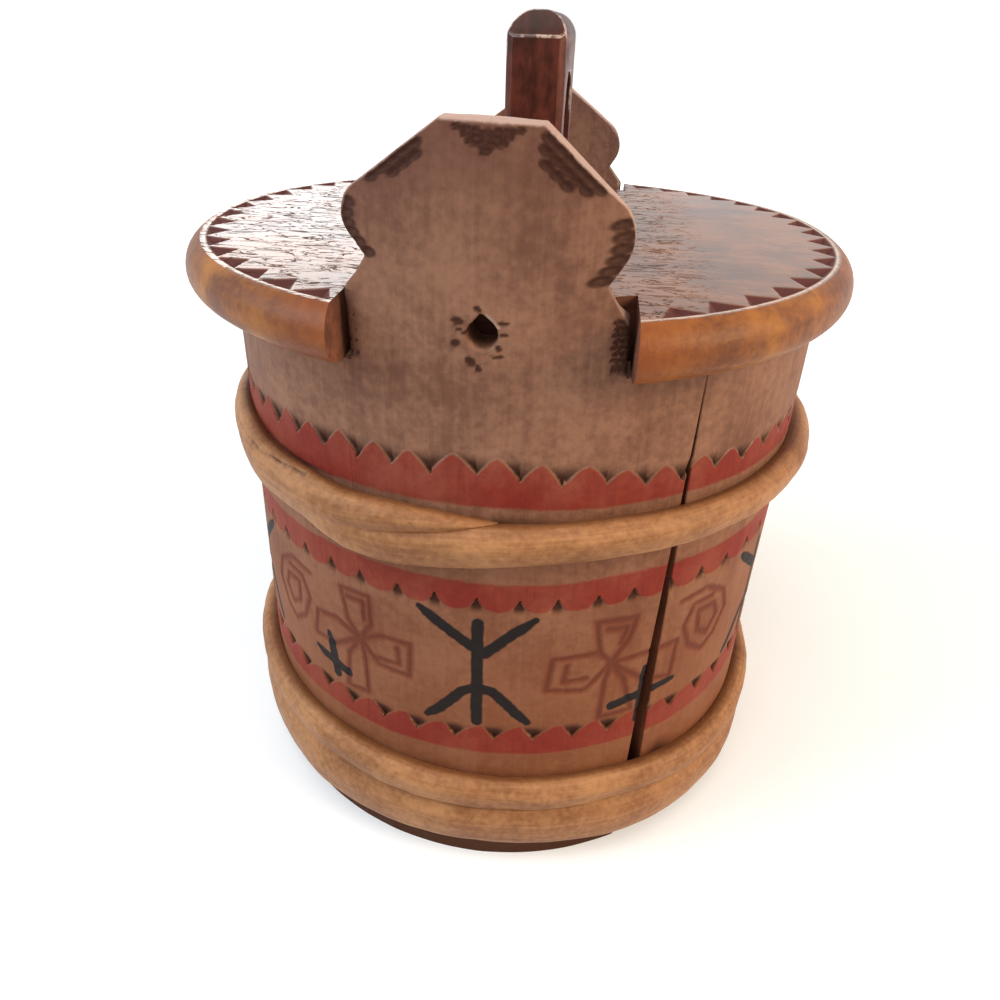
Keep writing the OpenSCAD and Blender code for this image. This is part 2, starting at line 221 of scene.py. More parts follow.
def stained_pine():
    """Pine staves, planed, stained brown and painted by brush: soft mottling,
    faint upright fibres, uneven paint and a dull, hand-worn sheen, with painted shade in the cuts and
    corners and pale edges, part wear and part painted highlight."""
    c = bpy.context.scene.tine_colours
    made, t, pos = new_material("stained_pine_staves")
    # Fibres 1 mm wide, growth bands 4 mm, stain clouds 25 mm, mottling 2 to 3 mm
    upright = (1, 1, 0.04)
    fibre = pattern(t, pos, 1000, upright, 2)
    bands = pattern(t, pos, 240, upright, 3, 0.4)
    cloud = pattern(t, pos, 40, detail=4)
    mottle = pattern(t, pos, 400, detail=5)
    tone = blend(t, cloud, (bands, 0.3), (mottle, 0.36), (fibre, 0.08))
    look = layer(t, c.stain_dark, c.stain_light, tone, 0.36, 0.64)
    # The stain is darker and redder at the top of the ears, more orange lower down
    high = node(t, "ShaderNodeSeparateXYZ", feed={0: pos}, out=2)
    look = layer(t, look, linear("#633f36"), high, 0.20, 0.25, 0.4)
    look = layer(t, look, linear("#5e3930"), high, 0.230, 0.238, 0.3)
    look = layer(t, look, linear("#84461f"), high, 0.19, 0.06, 0.6)
    # Painted shade, with dirt, darkens the foot below the hoops
    look = layer(t, look, linear("#3a1c08"), high, 0.025, 0.005, 0.85)
    # Red paint, thin where the brush ran dry
    red = layer(t, c.red, linear("#903326"), tone, 0.35, 0.68)
    painted = ragged(t, "red", mottle, 0.6)
    thin = node(t, "ShaderNodeMapRange", SMOOTH, {0: cloud, 1: 0.3, 2: 0.72, 3: 0.98, 4: 0.72})
    cover = node(t, "ShaderNodeMapRange", SMOOTH, {0: painted, 1: -0.25, 2: 0.4})
    cover = node(t, "ShaderNodeMath", {"operation": "MULTIPLY"}, {0: cover, 1: thin})
    look = node(t, "ShaderNodeMix", COLOURS, {0: cover, 6: look, 7: red}, 2)
    # Scored lines hold a red-brown wash that has bled a little
    line = ragged(t, "line", blend(t, mottle, (cloud, 0.5)), 1.2)
    look = layer(t, look, linear("#743826"), line, 2.3, 0.8, 0.65)
    look = layer(t, look, linear("#5c2b1c"), line, 1.3, 0.2, 0.6)
    # Painted shade darkens the chips, the gouges and the peg hole
    carved_shade = node(t, "ShaderNodeAttribute", {"attribute_name": "carved_shade"}, out=2)
    look = layer(t, look, linear("#36190f"), carved_shade, 0.0, 0.9, 0.92)
    # The arrises are painted pale, part wear and part painted highlight
    edge_wear_highlight = ragged(t, "edge_wear_highlight", blend(t, mottle, (cloud, 0.5)), 1.1)
    look = layer(t, look, linear("#c4a498"), edge_wear_highlight, 0.8, 0.0, 0.8)
    # Painted shade in the corners above and below the hoops, and painted shade with some dirt beside the
    # notches of the lid
    painted_shade = ragged(t, "painted_shade", mottle, 0.12)
    look = layer(t, look, linear("#2c1711"), painted_shade, 0.15, 1.0, 0.85)
    ink = ragged(t, "ink", mottle, 0.5)
    look = layer(t, look, c.ink, ink, 0.45, -0.25, 0.97)
    rough = node(t, "ShaderNodeMapRange", feed={0: mottle, 1: 0.3, 2: 0.7, 3: 0.55, 4: 0.7})
    surface(t, look, rough, blend(t, fibre, (mottle, 0.7)), 0.00035, 0.14)
    return made


def grained_wood(name, dark, light, grain, rough=0.7, specular=0.4):
    """Bare wood, split or whittled and dry, with its grain along one axis."""
    made, t, pos = new_material(name)
    # Growth bands about 4 mm wide and weathered patches of 20 mm
    bands = pattern(t, pos, 250, grain, 4, 0.5)
    tone = blend(t, bands, (pattern(t, pos, 50), 0.45))
    look = layer(t, dark, light, tone, 0.33, 0.67)
    surface(t, look, rough, bands, 0.0003, specular)
    return made


def split_withy():
    """Peeled and split withy under worn varnish: long soft streaks that follow
    the hoop, painted shade in the corners and along the crack, and a dull sheen on the crown."""
    c = bpy.context.scene.tine_colours
    made, t, pos = new_material("varnished_split_withy")
    lay = node(t, "ShaderNodeAttribute", {"attribute_name": "lay"}, out=1)
    # Streaks 3 mm wide and 80 mm long, pores 0.8 mm wide, clouds of 25 mm
    streak = pattern(t, lay, 300, (0.04, 1, 1), 4, 0.8)
    pores = pattern(t, lay, 1200, (0.06, 1, 1), 2)
    cloud = pattern(t, pos, 40, detail=4)
    mottle = pattern(t, pos, 450, detail=4)
    tone = blend(t, cloud, (streak, 0.38), (mottle, 0.3), (pores, 0.1))
    look = layer(t, c.withy_dark, c.withy_light, tone, 0.36, 0.64)
    # Painted shade darkens the withy where its section turns in to the wall
    crown = node(t, "ShaderNodeAttribute", {"attribute_name": "crown"}, out=2)
    look = layer(t, look, linear("#64391f"), crown, 0.75, 0.1, 0.8)
    # Painted shade along the crack between the strands
    split = ragged(t, "split", mottle, 0.3)
    look = layer(t, look, linear("#4a2917"), split, 0.7, 0.0, 0.8)
    surface(t, look, 0.5, blend(t, streak, (mottle, 0.5)), 0.0006, 0.22)
    return made


def crackled_top():
    """Top of the lid, pine under thick brown varnish that has wrinkled and
    cracked: glossy, with fine wavy cracks that run along the board, painted shade in its chips and a pale
    ring of painted highlight, with wear, at its edge."""
    c = bpy.context.scene.tine_colours
    made, t, pos = new_material("crackled_varnish_top")
    bands = pattern(t, pos, 240, (0.05, 1, 1), 3, 0.5)
    cloud = pattern(t, pos, 45, detail=4)
    mottle = pattern(t, pos, 420, detail=4)
    look = layer(t, linear("#5d3a2a"), c.varnish, blend(t, cloud, (bands, 0.3)), 0.38, 0.6)
    # Cracks: the ridge of a noise with cells of 12 by 4 mm, about 0.5 mm wide
    ridge = pattern(t, pos, 85, (1, 3, 1), 3, 0.8)
    ridge = node(t, "ShaderNodeMath", {"operation": "SUBTRACT"}, {0: ridge, 1: 0.5})
    ridge = node(t, "ShaderNodeMath", {"operation": "ABSOLUTE"}, {0: ridge})
    crack = node(t, "ShaderNodeMapRange", SMOOTH, {0: ridge, 1: 0.006, 2: 0.03, 3: 1.0, 4: 0.0})
    # The varnish was laid thinner at the right and has hardly cracked there
    across = node(t, "ShaderNodeSeparateXYZ", feed={0: pos}, out=0)
    thick = node(t, "ShaderNodeMapRange", SMOOTH, {0: across, 1: 0.035, 2: 0.065, 3: 1.0, 4: 0.0})
    crack = node(t, "ShaderNodeMath", {"operation": "MULTIPLY"}, {0: crack, 1: thick})
    look = layer(t, look, linear("#1f120d"), crack, 0.1, 1.0, 0.7)
    # Painted shade in the chips of the rim
    carved_shade = node(t, "ShaderNodeAttribute", {"attribute_name": "carved_shade"}, out=2)
    look = layer(t, look, linear("#4d160f"), carved_shade, 0.0, 0.5, 0.95)
    # A pale ring at the rounded edge: painted highlight, with wear
    edge_wear_highlight = ragged(t, "edge_wear_highlight", mottle, 0.35)
    look = layer(t, look, linear("#e6c3ad"), edge_wear_highlight, 0.8, 0.3, 0.85)
    dull = node(t, "ShaderNodeMath", {"operation": "MAXIMUM"}, {0: crack, 1: carved_shade})
    rough = node(t, "ShaderNodeMapRange", feed={0: dull, 1: 0.0, 2: 0.5, 3: 0.24, 4: 0.8})
    sunk = node(t, "ShaderNodeMath", {"operation": "MULTIPLY_ADD"}, {
        0: crack, 1: -0.7, 2: blend(t, cloud, (mottle, 0.15))})
    surface(t, look, rough, sunk, 0.0003, 0.5)
    return made


def worn_rim():
    """Rim of the lid, where the varnish is rubbed dull: brown streaks that run
    round it, golden clouds, and a pale ring of painted highlight, with wear, at its top edge."""
    made, t, pos = new_material("worn_varnish_rim")
    streak = pattern(t, pos, 170, (0.25, 0.25, 1), 4, 0.6)
    cloud = pattern(t, pos, 45, detail=4)
    mottle = pattern(t, pos, 420, detail=4)
    tone = blend(t, cloud, (streak, 0.4), (mottle, 0.25))
    look = layer(t, linear("#6a3c22"), linear("#9a5e2c"), tone, 0.38, 0.62)
    look = layer(t, look, linear("#b87a2a"), cloud, 0.53, 0.72, 0.45)
    # Redder beside the notches, where hands have held the lid
    across = node(t, "ShaderNodeSeparateXYZ", feed={0: pos}, out=0)
    across = node(t, "ShaderNodeMath", {"operation": "ABSOLUTE"}, {0: across})
    look = layer(t, look, linear("#8a4520"), across, 0.062, 0.038, 0.55)
    # A pale ring at the rounded edge: painted highlight, with wear
    edge_wear_highlight = ragged(t, "edge_wear_highlight", mottle, 0.35)
    look = layer(t, look, linear("#e6c3ad"), edge_wear_highlight, 0.8, 0.3, 0.85)
    surface(t, look, 0.42, blend(t, mottle, (streak, 0.3)), 0.0004, 0.18)
    return made


def painted_handle():
    """Birch bow, knife-cut and painted dark red-brown under worn gloss varnish."""
    c = bpy.context.scene.tine_colours
    made, t, pos = new_material("painted_birch_handle")
    bands = pattern(t, pos, 380, (1, 0.08, 0.35), 4)
    tone = blend(t, bands, (pattern(t, pos, 70), 0.5))
    look = layer(t, linear("#3a1d15"), c.handle, tone, 0.36, 0.62)
    # Painted shade darkens the sloped top, which the top lamp lights more than the front
    high = node(t, "ShaderNodeSeparateXYZ", feed={0: pos}, out=2)
    look = layer(t, look, linear("#241009"), high, 0.262, 0.264, 0.6)
    surface(t, look, 0.4, bands, 0.0002, 0.12)
    return made


def handle_edge_wear_highlight():
    """Arrises of the handle, where hands have rubbed the paint thin, painted pale as wear and as a
    highlight.
    """
    made, t, pos = new_material("birch_edge_wear_and_painted_highlight")
    worn = pattern(t, pos, 230, detail=4)
    look = layer(t, linear("#4d2a20"), linear("#b59a8c"), worn, 0.48, 0.6)
    surface(t, look, 0.3, worn, 0.0001, 0.4)
    return made


# Carving and paint of the staves, worked out in mm

def body_r(z):
    """Outside radius of the staves at height z."""
    return FOOT_R - (FOOT_R - RIM_R) * z / RIM_Z


def inner_r(z):
    """Inside radius of the staves, with the bevel at the foot and the groove."""
    low, high, deep = BOARD_GROOVE
    groove = np.where((z > low) & (z < high), deep, 0.0)
    return body_r(z) - WALL + groove + np.clip((6.0 - z) / 6.0, 0, 1) * 3.0


def wrap(value, period=360.0):
    """Distance to the nearest multiple of a period, with its sign."""
    return (value + period / 2) % period - period / 2


def ease(low, high, value):
    """Smooth step from 0 at low to 1 at high."""
    x = np.clip((value - low) / (high - low), 0, 1)
    return x * x * (3 - 2 * x)


def sway(theta, seed):
    """Slow hand-made wander round the tub, between about -1 and 1."""
    turn = theta * DEG
    return (0.5 * np.sin(3 * turn + seed) + 0.3 * np.sin(7 * turn + 2.1 * seed)
            + 0.2 * np.sin(13 * turn + 0.7 * seed))


def read_line(theta, points, column):
    """One column of a list of points round the tub, at the given angles."""
    table = np.array(points, dtype=float)
    return np.interp(theta, table[:, 0], table[:, column])


def to_lines(x, z, lines, taper=0.0):
    """Distance to the nearest of many polylines, which thin out at their first point."""
    best = np.full(x.shape, 99.0)
    for line in lines:
        for k, ((ax, az), (bx, bz)) in enumerate(zip(line[:-1], line[1:])):
            dx, dz = bx - ax, bz - az
            u = np.clip(((x - ax) * dx + (z - az) * dz) / (dx * dx + dz * dz + 1e-9), 0, 1)
            thin = taper * (1 - u) ** 2 if k == 0 else 0.0
            best = np.minimum(best, np.hypot(x - ax - u * dx, z - az - u * dz) + thin)
    return best


# Marks as angle from the front ear and height in mm, drawn as the photograph
# shows them. The hidden part of the tub repeats them.
CROSS_R = [
    [(24.6, 92.0), (22.0, 97.6), (13.4, 96.6), (12.6, 83.6), (20.0, 82.2), (24.6, 92.0)],
    [(24.6, 92.0), (22.2, 97.0), (21.0, 110.0), (28.8, 109.2), (27.6, 100.6), (24.6, 92.0)],
    [(24.6, 92.0), (30.0, 92.6), (39.2, 92.8), (38.8, 77.2), (32.6, 80.2), (24.6, 92.0)],
    [(24.6, 92.0), (23.7, 84.1), (23.4, 67.8), (30.3, 68.2), (27.6, 83.6), (24.6, 92.0)],
    [(23.2, 106.4), (27.0, 106.0), (26.2, 99.8)], [(16.2, 93.4), (15.6, 86.6), (20.0, 87.2)],
]
CROSS_L = [
    [(-23.4, 92.6), (-26.2, 98.5), (-27.6, 110.8), (-20.9, 111.4), (-20.6, 100.1), (-23.4, 92.6)],
    [(-23.4, 92.6), (-18.5, 97.2), (-12.6, 97.2), (-12.9, 83.4), (-19.4, 84.3), (-23.4, 92.6)],
    [(-23.4, 92.6), (-26.5, 83.4), (-27.4, 67.8), (-22.2, 69.2), (-22.6, 84.9), (-23.4, 92.6)],
    [(-23.4, 92.6), (-29.3, 96.3), (-34.8, 94.4), (-36.0, 83.6), (-30.0, 84.2), (-23.4, 92.6)],
    [(-26.2, 108.0), (-22.2, 108.4), (-22.2, 101.6)], [(-15.2, 94.2), (-15.0, 87.4), (-19.4, 87.0)],
]
RING_R = [
    [(38.6, 109.4), (45.4, 110.4), (51.5, 104.0), (53.4, 95.0), (50.8, 86.0), (47.0, 82.0),
     (42.6, 88.0), (40.4, 97.3), (42.4, 105.5), (47.6, 105.2)],
    [(44.0, 101.6), (48.6, 101.0), (50.2, 95.0), (48.0, 88.9), (44.6, 92.5), (44.0, 101.6)],
]
RING_L = [
    [(-36.4, 108.4), (-43.0, 109.0), (-48.6, 102.8), (-50.4, 93.4), (-47.6, 84.6), (-43.8, 81.0),
     (-39.6, 87.0), (-37.2, 97.0), (-39.6, 104.5), (-44.6, 104.4)],
    [(-41.0, 100.4), (-45.4, 99.6), (-46.8, 93.8), (-44.4, 88.0), (-41.2, 92.0), (-41.0, 100.4)],
]
SMALL_R = [[(32.3, 86.0), (32.4, 62.5)], [(39.8, 75.2), (31.2, 74.0), (26.0, 72.2)]]
SMALL_L = [[(-31.9, 87.3), (-31.2, 81.4), (-30.4, 70.4)],
           [(-35.8, 77.4), (-33.3, 75.9), (-30.5, 75.4), (-27.3, 73.4)]]
RUNE = [[(0, 111.5), (0, 111.0), (0, 69.2)], [(-10.6, 114.2), (-7.6, 110.2), (-0.9, 101.4)],
        [(10.0, 113.0), (6.0, 107.2), (1.2, 99.0)],
        [(-9.6, 68.6), (-7.3, 72.2), (-5.0, 77.1), (-2.7, 82.2), (-0.4, 84.2)],
        [(9.6, 69.4), (7.3, 73.7), (5.0, 79.0), (2.7, 83.2), (0.4, 84.4)]]


def moved(lines, turn, lift=0.0):
    """The lines turned round the tub and lifted."""
    return [[(a + turn, z + lift) for a, z in line] for line in lines]


def in_mm(lines):
    """Lines with their angles turned into distances round the tub."""
    return [[(a * DEG * MID_R, z) for a, z in line] for line in lines]


SCORED = CROSS_R + CROSS_L + RING_R + RING_L
INKED = RUNE + SMALL_R + SMALL_L
for turn, lift in ((67.5, -0.8), (134.5, 0.4)):
    SCORED = SCORED + moved(CROSS_R + RING_R, turn, lift)
    INKED = INKED + moved(RUNE + SMALL_R, turn, lift)
for turn, lift in ((-62.5, 0.5), (-127.0, -0.5)):
    SCORED = SCORED + moved(CROSS_L + RING_L, turn, lift)
    INKED = INKED + moved(RUNE + SMALL_L, turn, lift)


def corner_shade(theta, z):
    """Painted shade from 0 to 1 in the corners above and below the hoops."""
    covered = 20.0 * (theta < -48)
    top = np.maximum(read_line(theta, UPPER_HOOP, 1) - covered, read_line(theta + 360, UPPER_HOOP, 1))
    low = np.minimum(read_line(theta, UPPER_HOOP, 2) + covered, read_line(theta + 360, UPPER_HOOP, 2))
    foot_top, foot_low = read_line(theta, FOOT_TOP, 1), read_line(theta, FOOT_LOW, 2)
    shade_sum = np.exp(-np.abs(z - top) / 0.9) + np.exp(-np.abs(z - foot_top) / 1.1)
    shade_sum += 0.8 * np.exp(-np.abs(z - low) / 2.2) + 0.8 * np.exp(-np.abs(z - foot_low) / 2.5)
    return np.clip(shade_sum, 0, 1)


def frieze(theta, z):
    """Depth of the carving at an angle and height, and the values that the
    material reads: distances in mm and shares from 0 to 1."""
    s = bpy.context.scene.tine_sizes
    tooth, chip = s.tooth / MM, s.chip / MM
    # Chip shares are painted shade in the chips
    depth, carved_shade = np.zeros_like(z), np.zeros_like(z)
    # Edge distances draw a pale line on the teeth, part wear and part painted highlight
    red, edge_wear_highlight = np.full_like(z, -9.0), np.full_like(z, 9.0)

    # Upper frieze: 52 teeth that point up, rounder and lower on the right
    pitch = 360 / 52
    number = np.round((theta - 2.6) / pitch)
    half = pitch / 2 * DEG * 99.6
    t = wrap(theta - 2.6, pitch) * DEG * 99.6 + 0.55 * np.sin(number * 2.3) + 0.3 * np.sin(number * 5.1)
    tip = np.interp(theta, [-180, -60, -25, 2, 10, 24, 60, 100, 180],
                    [166.0, 166.0, 167.5, 167.8, 166.5, 163.0, 161.8, 165.0, 166.0])
    tip = tip + 0.5 * np.sin(number * 4.1)
    height = tooth * (1 + 0.1 * np.sin(number * 1.7)) * np.interp(theta, [-20, 20], [1.0, 0.9])
    bend = np.interp(theta, [-60, 0, 14, 60], [1.2, 1.25, 1.45, 1.6])
    inside = (tip - height * np.clip(np.abs(t) / half, 0, 1) ** bend - z) * 0.72
    zone = z > 140
    slope = np.clip((tip + 0.9 - z) / (height + 0.9), 0, 1) * np.where(t > 0, 1.0, 0.75)
    cut = ease(0.0, 0.5, -inside) * slope * zone
    depth, carved_shade = depth + cut * chip, np.maximum(carved_shade, cut * 1.5)
    bottom = (z - 151.9 - 0.7 * sway(theta, 1.3)) / 1.7
    red = np.maximum(red, np.where(zone, np.minimum(inside, bottom), -9))
    edge = zone & (z > tip - height - 1) & (z < tip + 0.5)
    edge_wear_highlight = np.where(edge, np.abs(inside + 0.15) + 0.52, edge_wear_highlight)

    # Second frieze, under the hoop: chips with their points up
    pitch = 360 / 49
    shifted = theta + 0.3 + 1.5 * ease(3, 28, theta) * (1 - ease(60, 140, theta))
    number = np.round(shifted / pitch)
    t = np.abs(wrap(shifted, pitch) * DEG * 100.6 + 0.4 * np.sin(number * 3.7))
    lift = 0.5 * sway(theta, 2.2) + 0.8 * ease(8, 30, theta) * (1 - ease(60, 140, theta))
    inside = (z - np.interp(t, [0, 1.0, 2.6, 3.3, 6.5], [120.7, 118.6, 116.6, 116.1, 115.5]) - lift) * 0.75
    zone = (z > 108) & (z < 131)
    slope = np.clip((z - 114.4 - lift) / 5.6, 0, 1)
    cut = ease(0.0, 0.45, -inside) * slope * zone * (1 - ease(2.4, 3.2, t))
    depth, carved_shade = depth + cut * chip * 0.9, np.maximum(carved_shade, cut * 1.9 * (1 - ease(0.9, 2.5, t)))
    top = (126.6 + lift + 0.4 * sway(theta, 5.0) - z) / 1.8
    red = np.maximum(red, np.where(zone, np.minimum(inside, top), -9))

    # Lower frieze: 48 saw teeth, cut steep on their right side
    pitch = 360 / 48
    number = np.floor((theta - 1.1) / pitch)
    width = pitch * DEG * 101.4
    t = ((theta - 1.1) / pitch - number) * width + 0.35 * np.sin(number * 2.9)
    valley = 0.31 * width
    tip = 66.6 + 0.8 * sway(theta, 0.4) + 0.4 * np.sin(number * 3.3)
    steep = np.clip(t / valley, 0, 1) ** 0.85
    slow = np.clip((width - t) / (width - valley), 0, 1) ** 1.9
    inside = (tip - tooth * np.where(t < valley, steep, slow) - z) * np.where(t < valley, 0.6, 0.85)
    zone = (z > 40) & (z < 80)
    slope = np.clip((tip + 0.7 - z) / (tooth + 0.7), 0, 1) * (1 - 0.75 * ease(0.3, 0.75, t / width))
    cut = ease(0.0, 0.5, -inside) * slope * zone
    depth, carved_shade = depth + cut * chip * 1.15, np.maximum(carved_shade, cut * 1.9)
    bottom = (z - 54.4 - 0.6 * sway(theta, 3.0)) / 1.8
    red = np.maximum(red, np.where(zone, np.minimum(inside, bottom), -9))
    edge = zone & (z > tip - tooth - 1) & (z < tip + 0.5) & (t < valley + 0.6)
    edge_wear_highlight = np.where(edge, np.abs(inside + 0.15) + 0.55, edge_wear_highlight)

    # Scored crosses and rings, and the dark strokes between them
    band = (z > 58) & (z < 118)
    x = theta[band] * DEG * MID_R
    line, ink = np.full_like(z, 9.0), np.full_like(z, 9.0)
    line[band] = to_lines(x, z[band], in_mm(SCORED))
    ink[band] = to_lines(x, z[band], in_mm(INKED), 0.8) - s.stroke / MM / 2
    depth += s.score / MM * (1 - ease(0.2, 1.5, line)) + 0.15 * (1 - ease(-0.5, 0.3, ink))
    # Painted shade in the corners by the hoops goes with the carving values
    values = {"red": red, "carved_shade": np.clip(carved_shade, 0, 1), "edge_wear_highlight": edge_wear_highlight, "line": line, "ink": ink,
              "painted_shade": corner_shade(theta, z)}
    return depth, values


def gouges(x, z, marks):
    """Depth and painted shade of small scooped cuts, each (x, z, half length, half height,
    tilt, how much paler its floor is painted than the shade round it)."""
    depth, cut_shade = np.zeros_like(z), np.zeros_like(z)
    for cx, cz, a, b, tilt, painted_paler in marks:
        co, si = math.cos(tilt * DEG), math.sin(tilt * DEG)
        u = ((x - cx) * co + (z - cz) * si) / a
        v = ((z - cz) * co - (x - cx) * si) / b
        inside = np.clip(1 - u * u - v * v, 0, 1)
        near = np.clip(1.4 - (u * u + v * v) / 2.4, 0, 1)
        depth = np.maximum(depth, 0.65 * b * inside)
        cut_shade = np.maximum(cut_shade, 0.95 * near - painted_paler * inside)
    return depth, cut_shade


def ear_marks(ear):
    """Gouges of an ear on its lobes, its shoulders and under its top."""
    marks = []
    top_x, top_z = ear["top"]
    lobe_x, lobe_z = ear["lobe"]
    # Along the shoulder from the top, and inwards from it
    start = Vector(ear["top"])
    run = Vector(touch(ear["top"], (lobe_x - LOBE_R, lobe_z), LOBE_R, -1)) - start
    inward = Vector((run.y, -run.x)).normalized()
    left_rows = ((0.28, 5), (0.32, 3))
    right_rows = ((0.1, 6), (0.14, 5), (0.22, 3))
    for side, rows, wide in ((-1, left_rows, 1.5), (1, right_rows, 2.3)):
        # One column of scoops down each lobe, wider on the right
        for k in range(6):
            z = lobe_z + 3.3 - 2.5 * k
            edge = lobe_x - 0.055 * (z - lobe_z) ** 2
            marks.append((side * (edge - wide - 0.2), z, wide, 0.95, side * 10, 0.35))
        for row, (first, count) in enumerate(rows):
            for k in range(count):
                at = start + run * (first + 0.125 * k) + inward * (1.4 + 2.0 * row)
                marks.append((side * at.x, at.y, 1.35, 0.85, -25 * side, 0.35))
    # Fan of scoops under the top edge, pointing down
    for row, count in enumerate((7, 5, 4, 1)):
        for k in range(count):
            x = (k - (count - 1) / 2) * 2.35
            z = top_z - 1.3 - 1.15 * row - 0.10 * (9 - abs(x))
            marks.append((x * top_x / 12.5, z, 1.1, 0.6, 14 * math.copysign(1, x), 0.4))
    bent = []
    for x, z, *shape in marks:
        x, z = bend_ear(ear, x, z)
        bent.append((x, LID_TOP + z, *shape))
    return bent


def hole_marks():
    """Nicks round the peg hole, and the lattice beside the lid's right notch."""
    marks = []
    for x, z, a, b, tilt in ((-1.4, 0.6, 0.8, 0.5, -30), (-6.3, -2.6, 1.2, 0.6, -10),
                             (-5.6, -4.9, 1.3, 0.3, -25), (-6.8, -8.2, 0.9, 0.7, 20),
                             (-3.0, -12.6, 1.1, 0.8, -35), (-0.9, -14.4, 0.8, 0.6, -60),
                             (3.9, -8.9, 0.6, 0.5, -40), (3.6, -11.0, 1.3, 0.3, 0),
                             (4.9, -2.7, 1.1, 0.4, 0), (5.2, -5.4, 0.8, 0.4, 0)):
        marks.append((x, LID_TOP + z, a, b, tilt, 0.0))
    for row in range(9):
        for col in range(3):
            x = 32.0 + 1.75 * col + 0.5 * (row % 2)
            marks.append((x, LID_TOP - 2.2 - 1.6 * row, 0.8, 0.45, 25, 0.4))
            if col < 2 and row % 2:
                marks.append((-x - 1.0, LID_TOP - 3.4 - 1.6 * row, 0.4, 0.2, -25, 0.0))
    return marks


# Mesh tools

def steps(*stops):
    """Values from (value, spacing up to the next value) pairs, the last a bare value."""
    out = []
    for (low, gap), after in zip(stops[:-1], stops[1:]):
        high = after[0] if isinstance(after, tuple) else after
        count = max(1, round((high - low) / gap))
        out.extend(np.linspace(low, high, count + 1)[:-1])
    return np.array(out + [stops[-1]])


def whole_grid(columns, rows):
    """A bmesh grid whose vertices lie on whole numbers, from 0 to the counts."""
    bm = bmesh.new()
    bmesh.ops.create_grid(bm, x_segments=columns, y_segments=rows, size=1.0)
    bmesh.ops.translate(bm, vec=(1, 1, 0), verts=bm.verts)
    bmesh.ops.scale(bm, vec=(columns / 2, rows / 2, 1), verts=bm.verts)
    return bm


def to_mesh(name, bm):
    """A mesh from a bmesh, which is freed."""
    mesh = bpy.data.meshes.new(name)
    bm.to_mesh(mesh)
    bm.free()
    return mesh


def read_points(mesh):
    """Vertex places of a mesh as an array."""
    places = np.empty(len(mesh.vertices) * 3)
    mesh.vertices.foreach_get("co", places)
    return places.reshape(-1, 3)


def write_points(mesh, x, y, z):
    """Puts vertex places, given in mm, back into a mesh."""
    places = np.stack([x, y, z], 1) * MM
    mesh.vertices.foreach_set("co", np.ascontiguousarray(places, dtype=float).ravel())
    mesh.update()


def keep_value(mesh, name, values):
    """Stores one number, or one vector, per vertex for the material."""
    kind, key = ("FLOAT", "value") if values.ndim == 1 else ("FLOAT_VECTOR", "vector")
    stored = mesh.attributes.new(name, kind, "POINT")
    stored.data.foreach_set(key, np.ascontiguousarray(values, dtype=np.float32).ravel())


def face_out(mesh, cap_sides=0):
    """Turns faces outwards, after closing a tube along its seam and at its ends."""
    bm = bmesh.new()
    bm.from_mesh(mesh)
    if cap_sides:
        bmesh.ops.remove_doubles(bm, verts=bm.verts, dist=1e-6)
        bmesh.ops.holes_fill(bm, edges=bm.edges, sides=cap_sides)
    bmesh.ops.recalc_face_normals(bm, faces=bm.faces)
    bm.to_mesh(mesh)
    bm.free()


def place(name, mesh, body, node_name, slot, materials, sharp):
    """Makes the object of a piece, shades it and ties it to the frame."""
    if not mesh.polygons:
        raise RuntimeError(name + " came out empty")
    for material in materials:
        mesh.materials.append(material)
    mesh.shade_smooth()
    mesh.set_sharp_from_angle(angle=sharp * DEG)
    piece = bpy.data.objects.new(name, mesh)
    bpy.context.scene.collection.objects.link(piece)
    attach(piece, body)
    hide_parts(node_name)


def settle(x, z):
    """Moves the sides of the tub to the right towards the rim, but not the ears."""
    lean = bpy.context.scene.tine_sizes.lean / MM
    return x + lean * ease(40, RIM_Z, z) * (1 - ease(RIM_Z, LID_TOP - 4, z)) * (x / 100) ** 2


# Staves

def touch(p, c, r, side):
    """Point where a line from p touches the circle at c, on one side."""
    vx, vz = p[0] - c[0], p[1] - c[1]
    a = math.atan2(vz, vx) + side * math.acos(r / math.hypot(vx, vz))
    return c[0] + r * math.cos(a), c[1] + r * math.sin(a)


def ear_outline(ear):
    """Heights above the lid and half widths of an ear, up its side."""
    centre = (ear["lobe"][0] - LOBE_R, ear["lobe"][1])
    lower = touch(ear["notch"], centre, LOBE_R, 1)[1]
    upper = touch(ear["top"], centre, LOBE_R, -1)[1]
    line = [(-20, ear["half"]), (0, ear["half"]), ear["notch"][::-1]]
    for z in np.linspace(lower, upper, 40):
        line.append((z, centre[0] + math.sqrt(max(LOBE_R ** 2 - (z - centre[1]) ** 2, 0))))
    line.append(ear["top"][::-1])
    return np.array(line), lower, upper


def bend_ear(ear, x, over):
    """Moves points of an ear, given by their height over the lid: lower at the
    right and wider at the left, as it was cut by hand."""
    table = np.array(ear["bent"], dtype=float)
    sink, hang, left, droop = (np.interp(over, table[:, 0], table[:, k]) for k in (1, 2, 3, 4))
    line = ear_outline(ear)[0]
    wide = np.interp(over, line[:, 0], line[:, 1])
    lower = sink + hang * x / ear["lobe"][0] + droop * np.clip(x / wide, 0, 1) ** 3
    return x - left * np.clip(-x / wide, 0, 1), over - lower


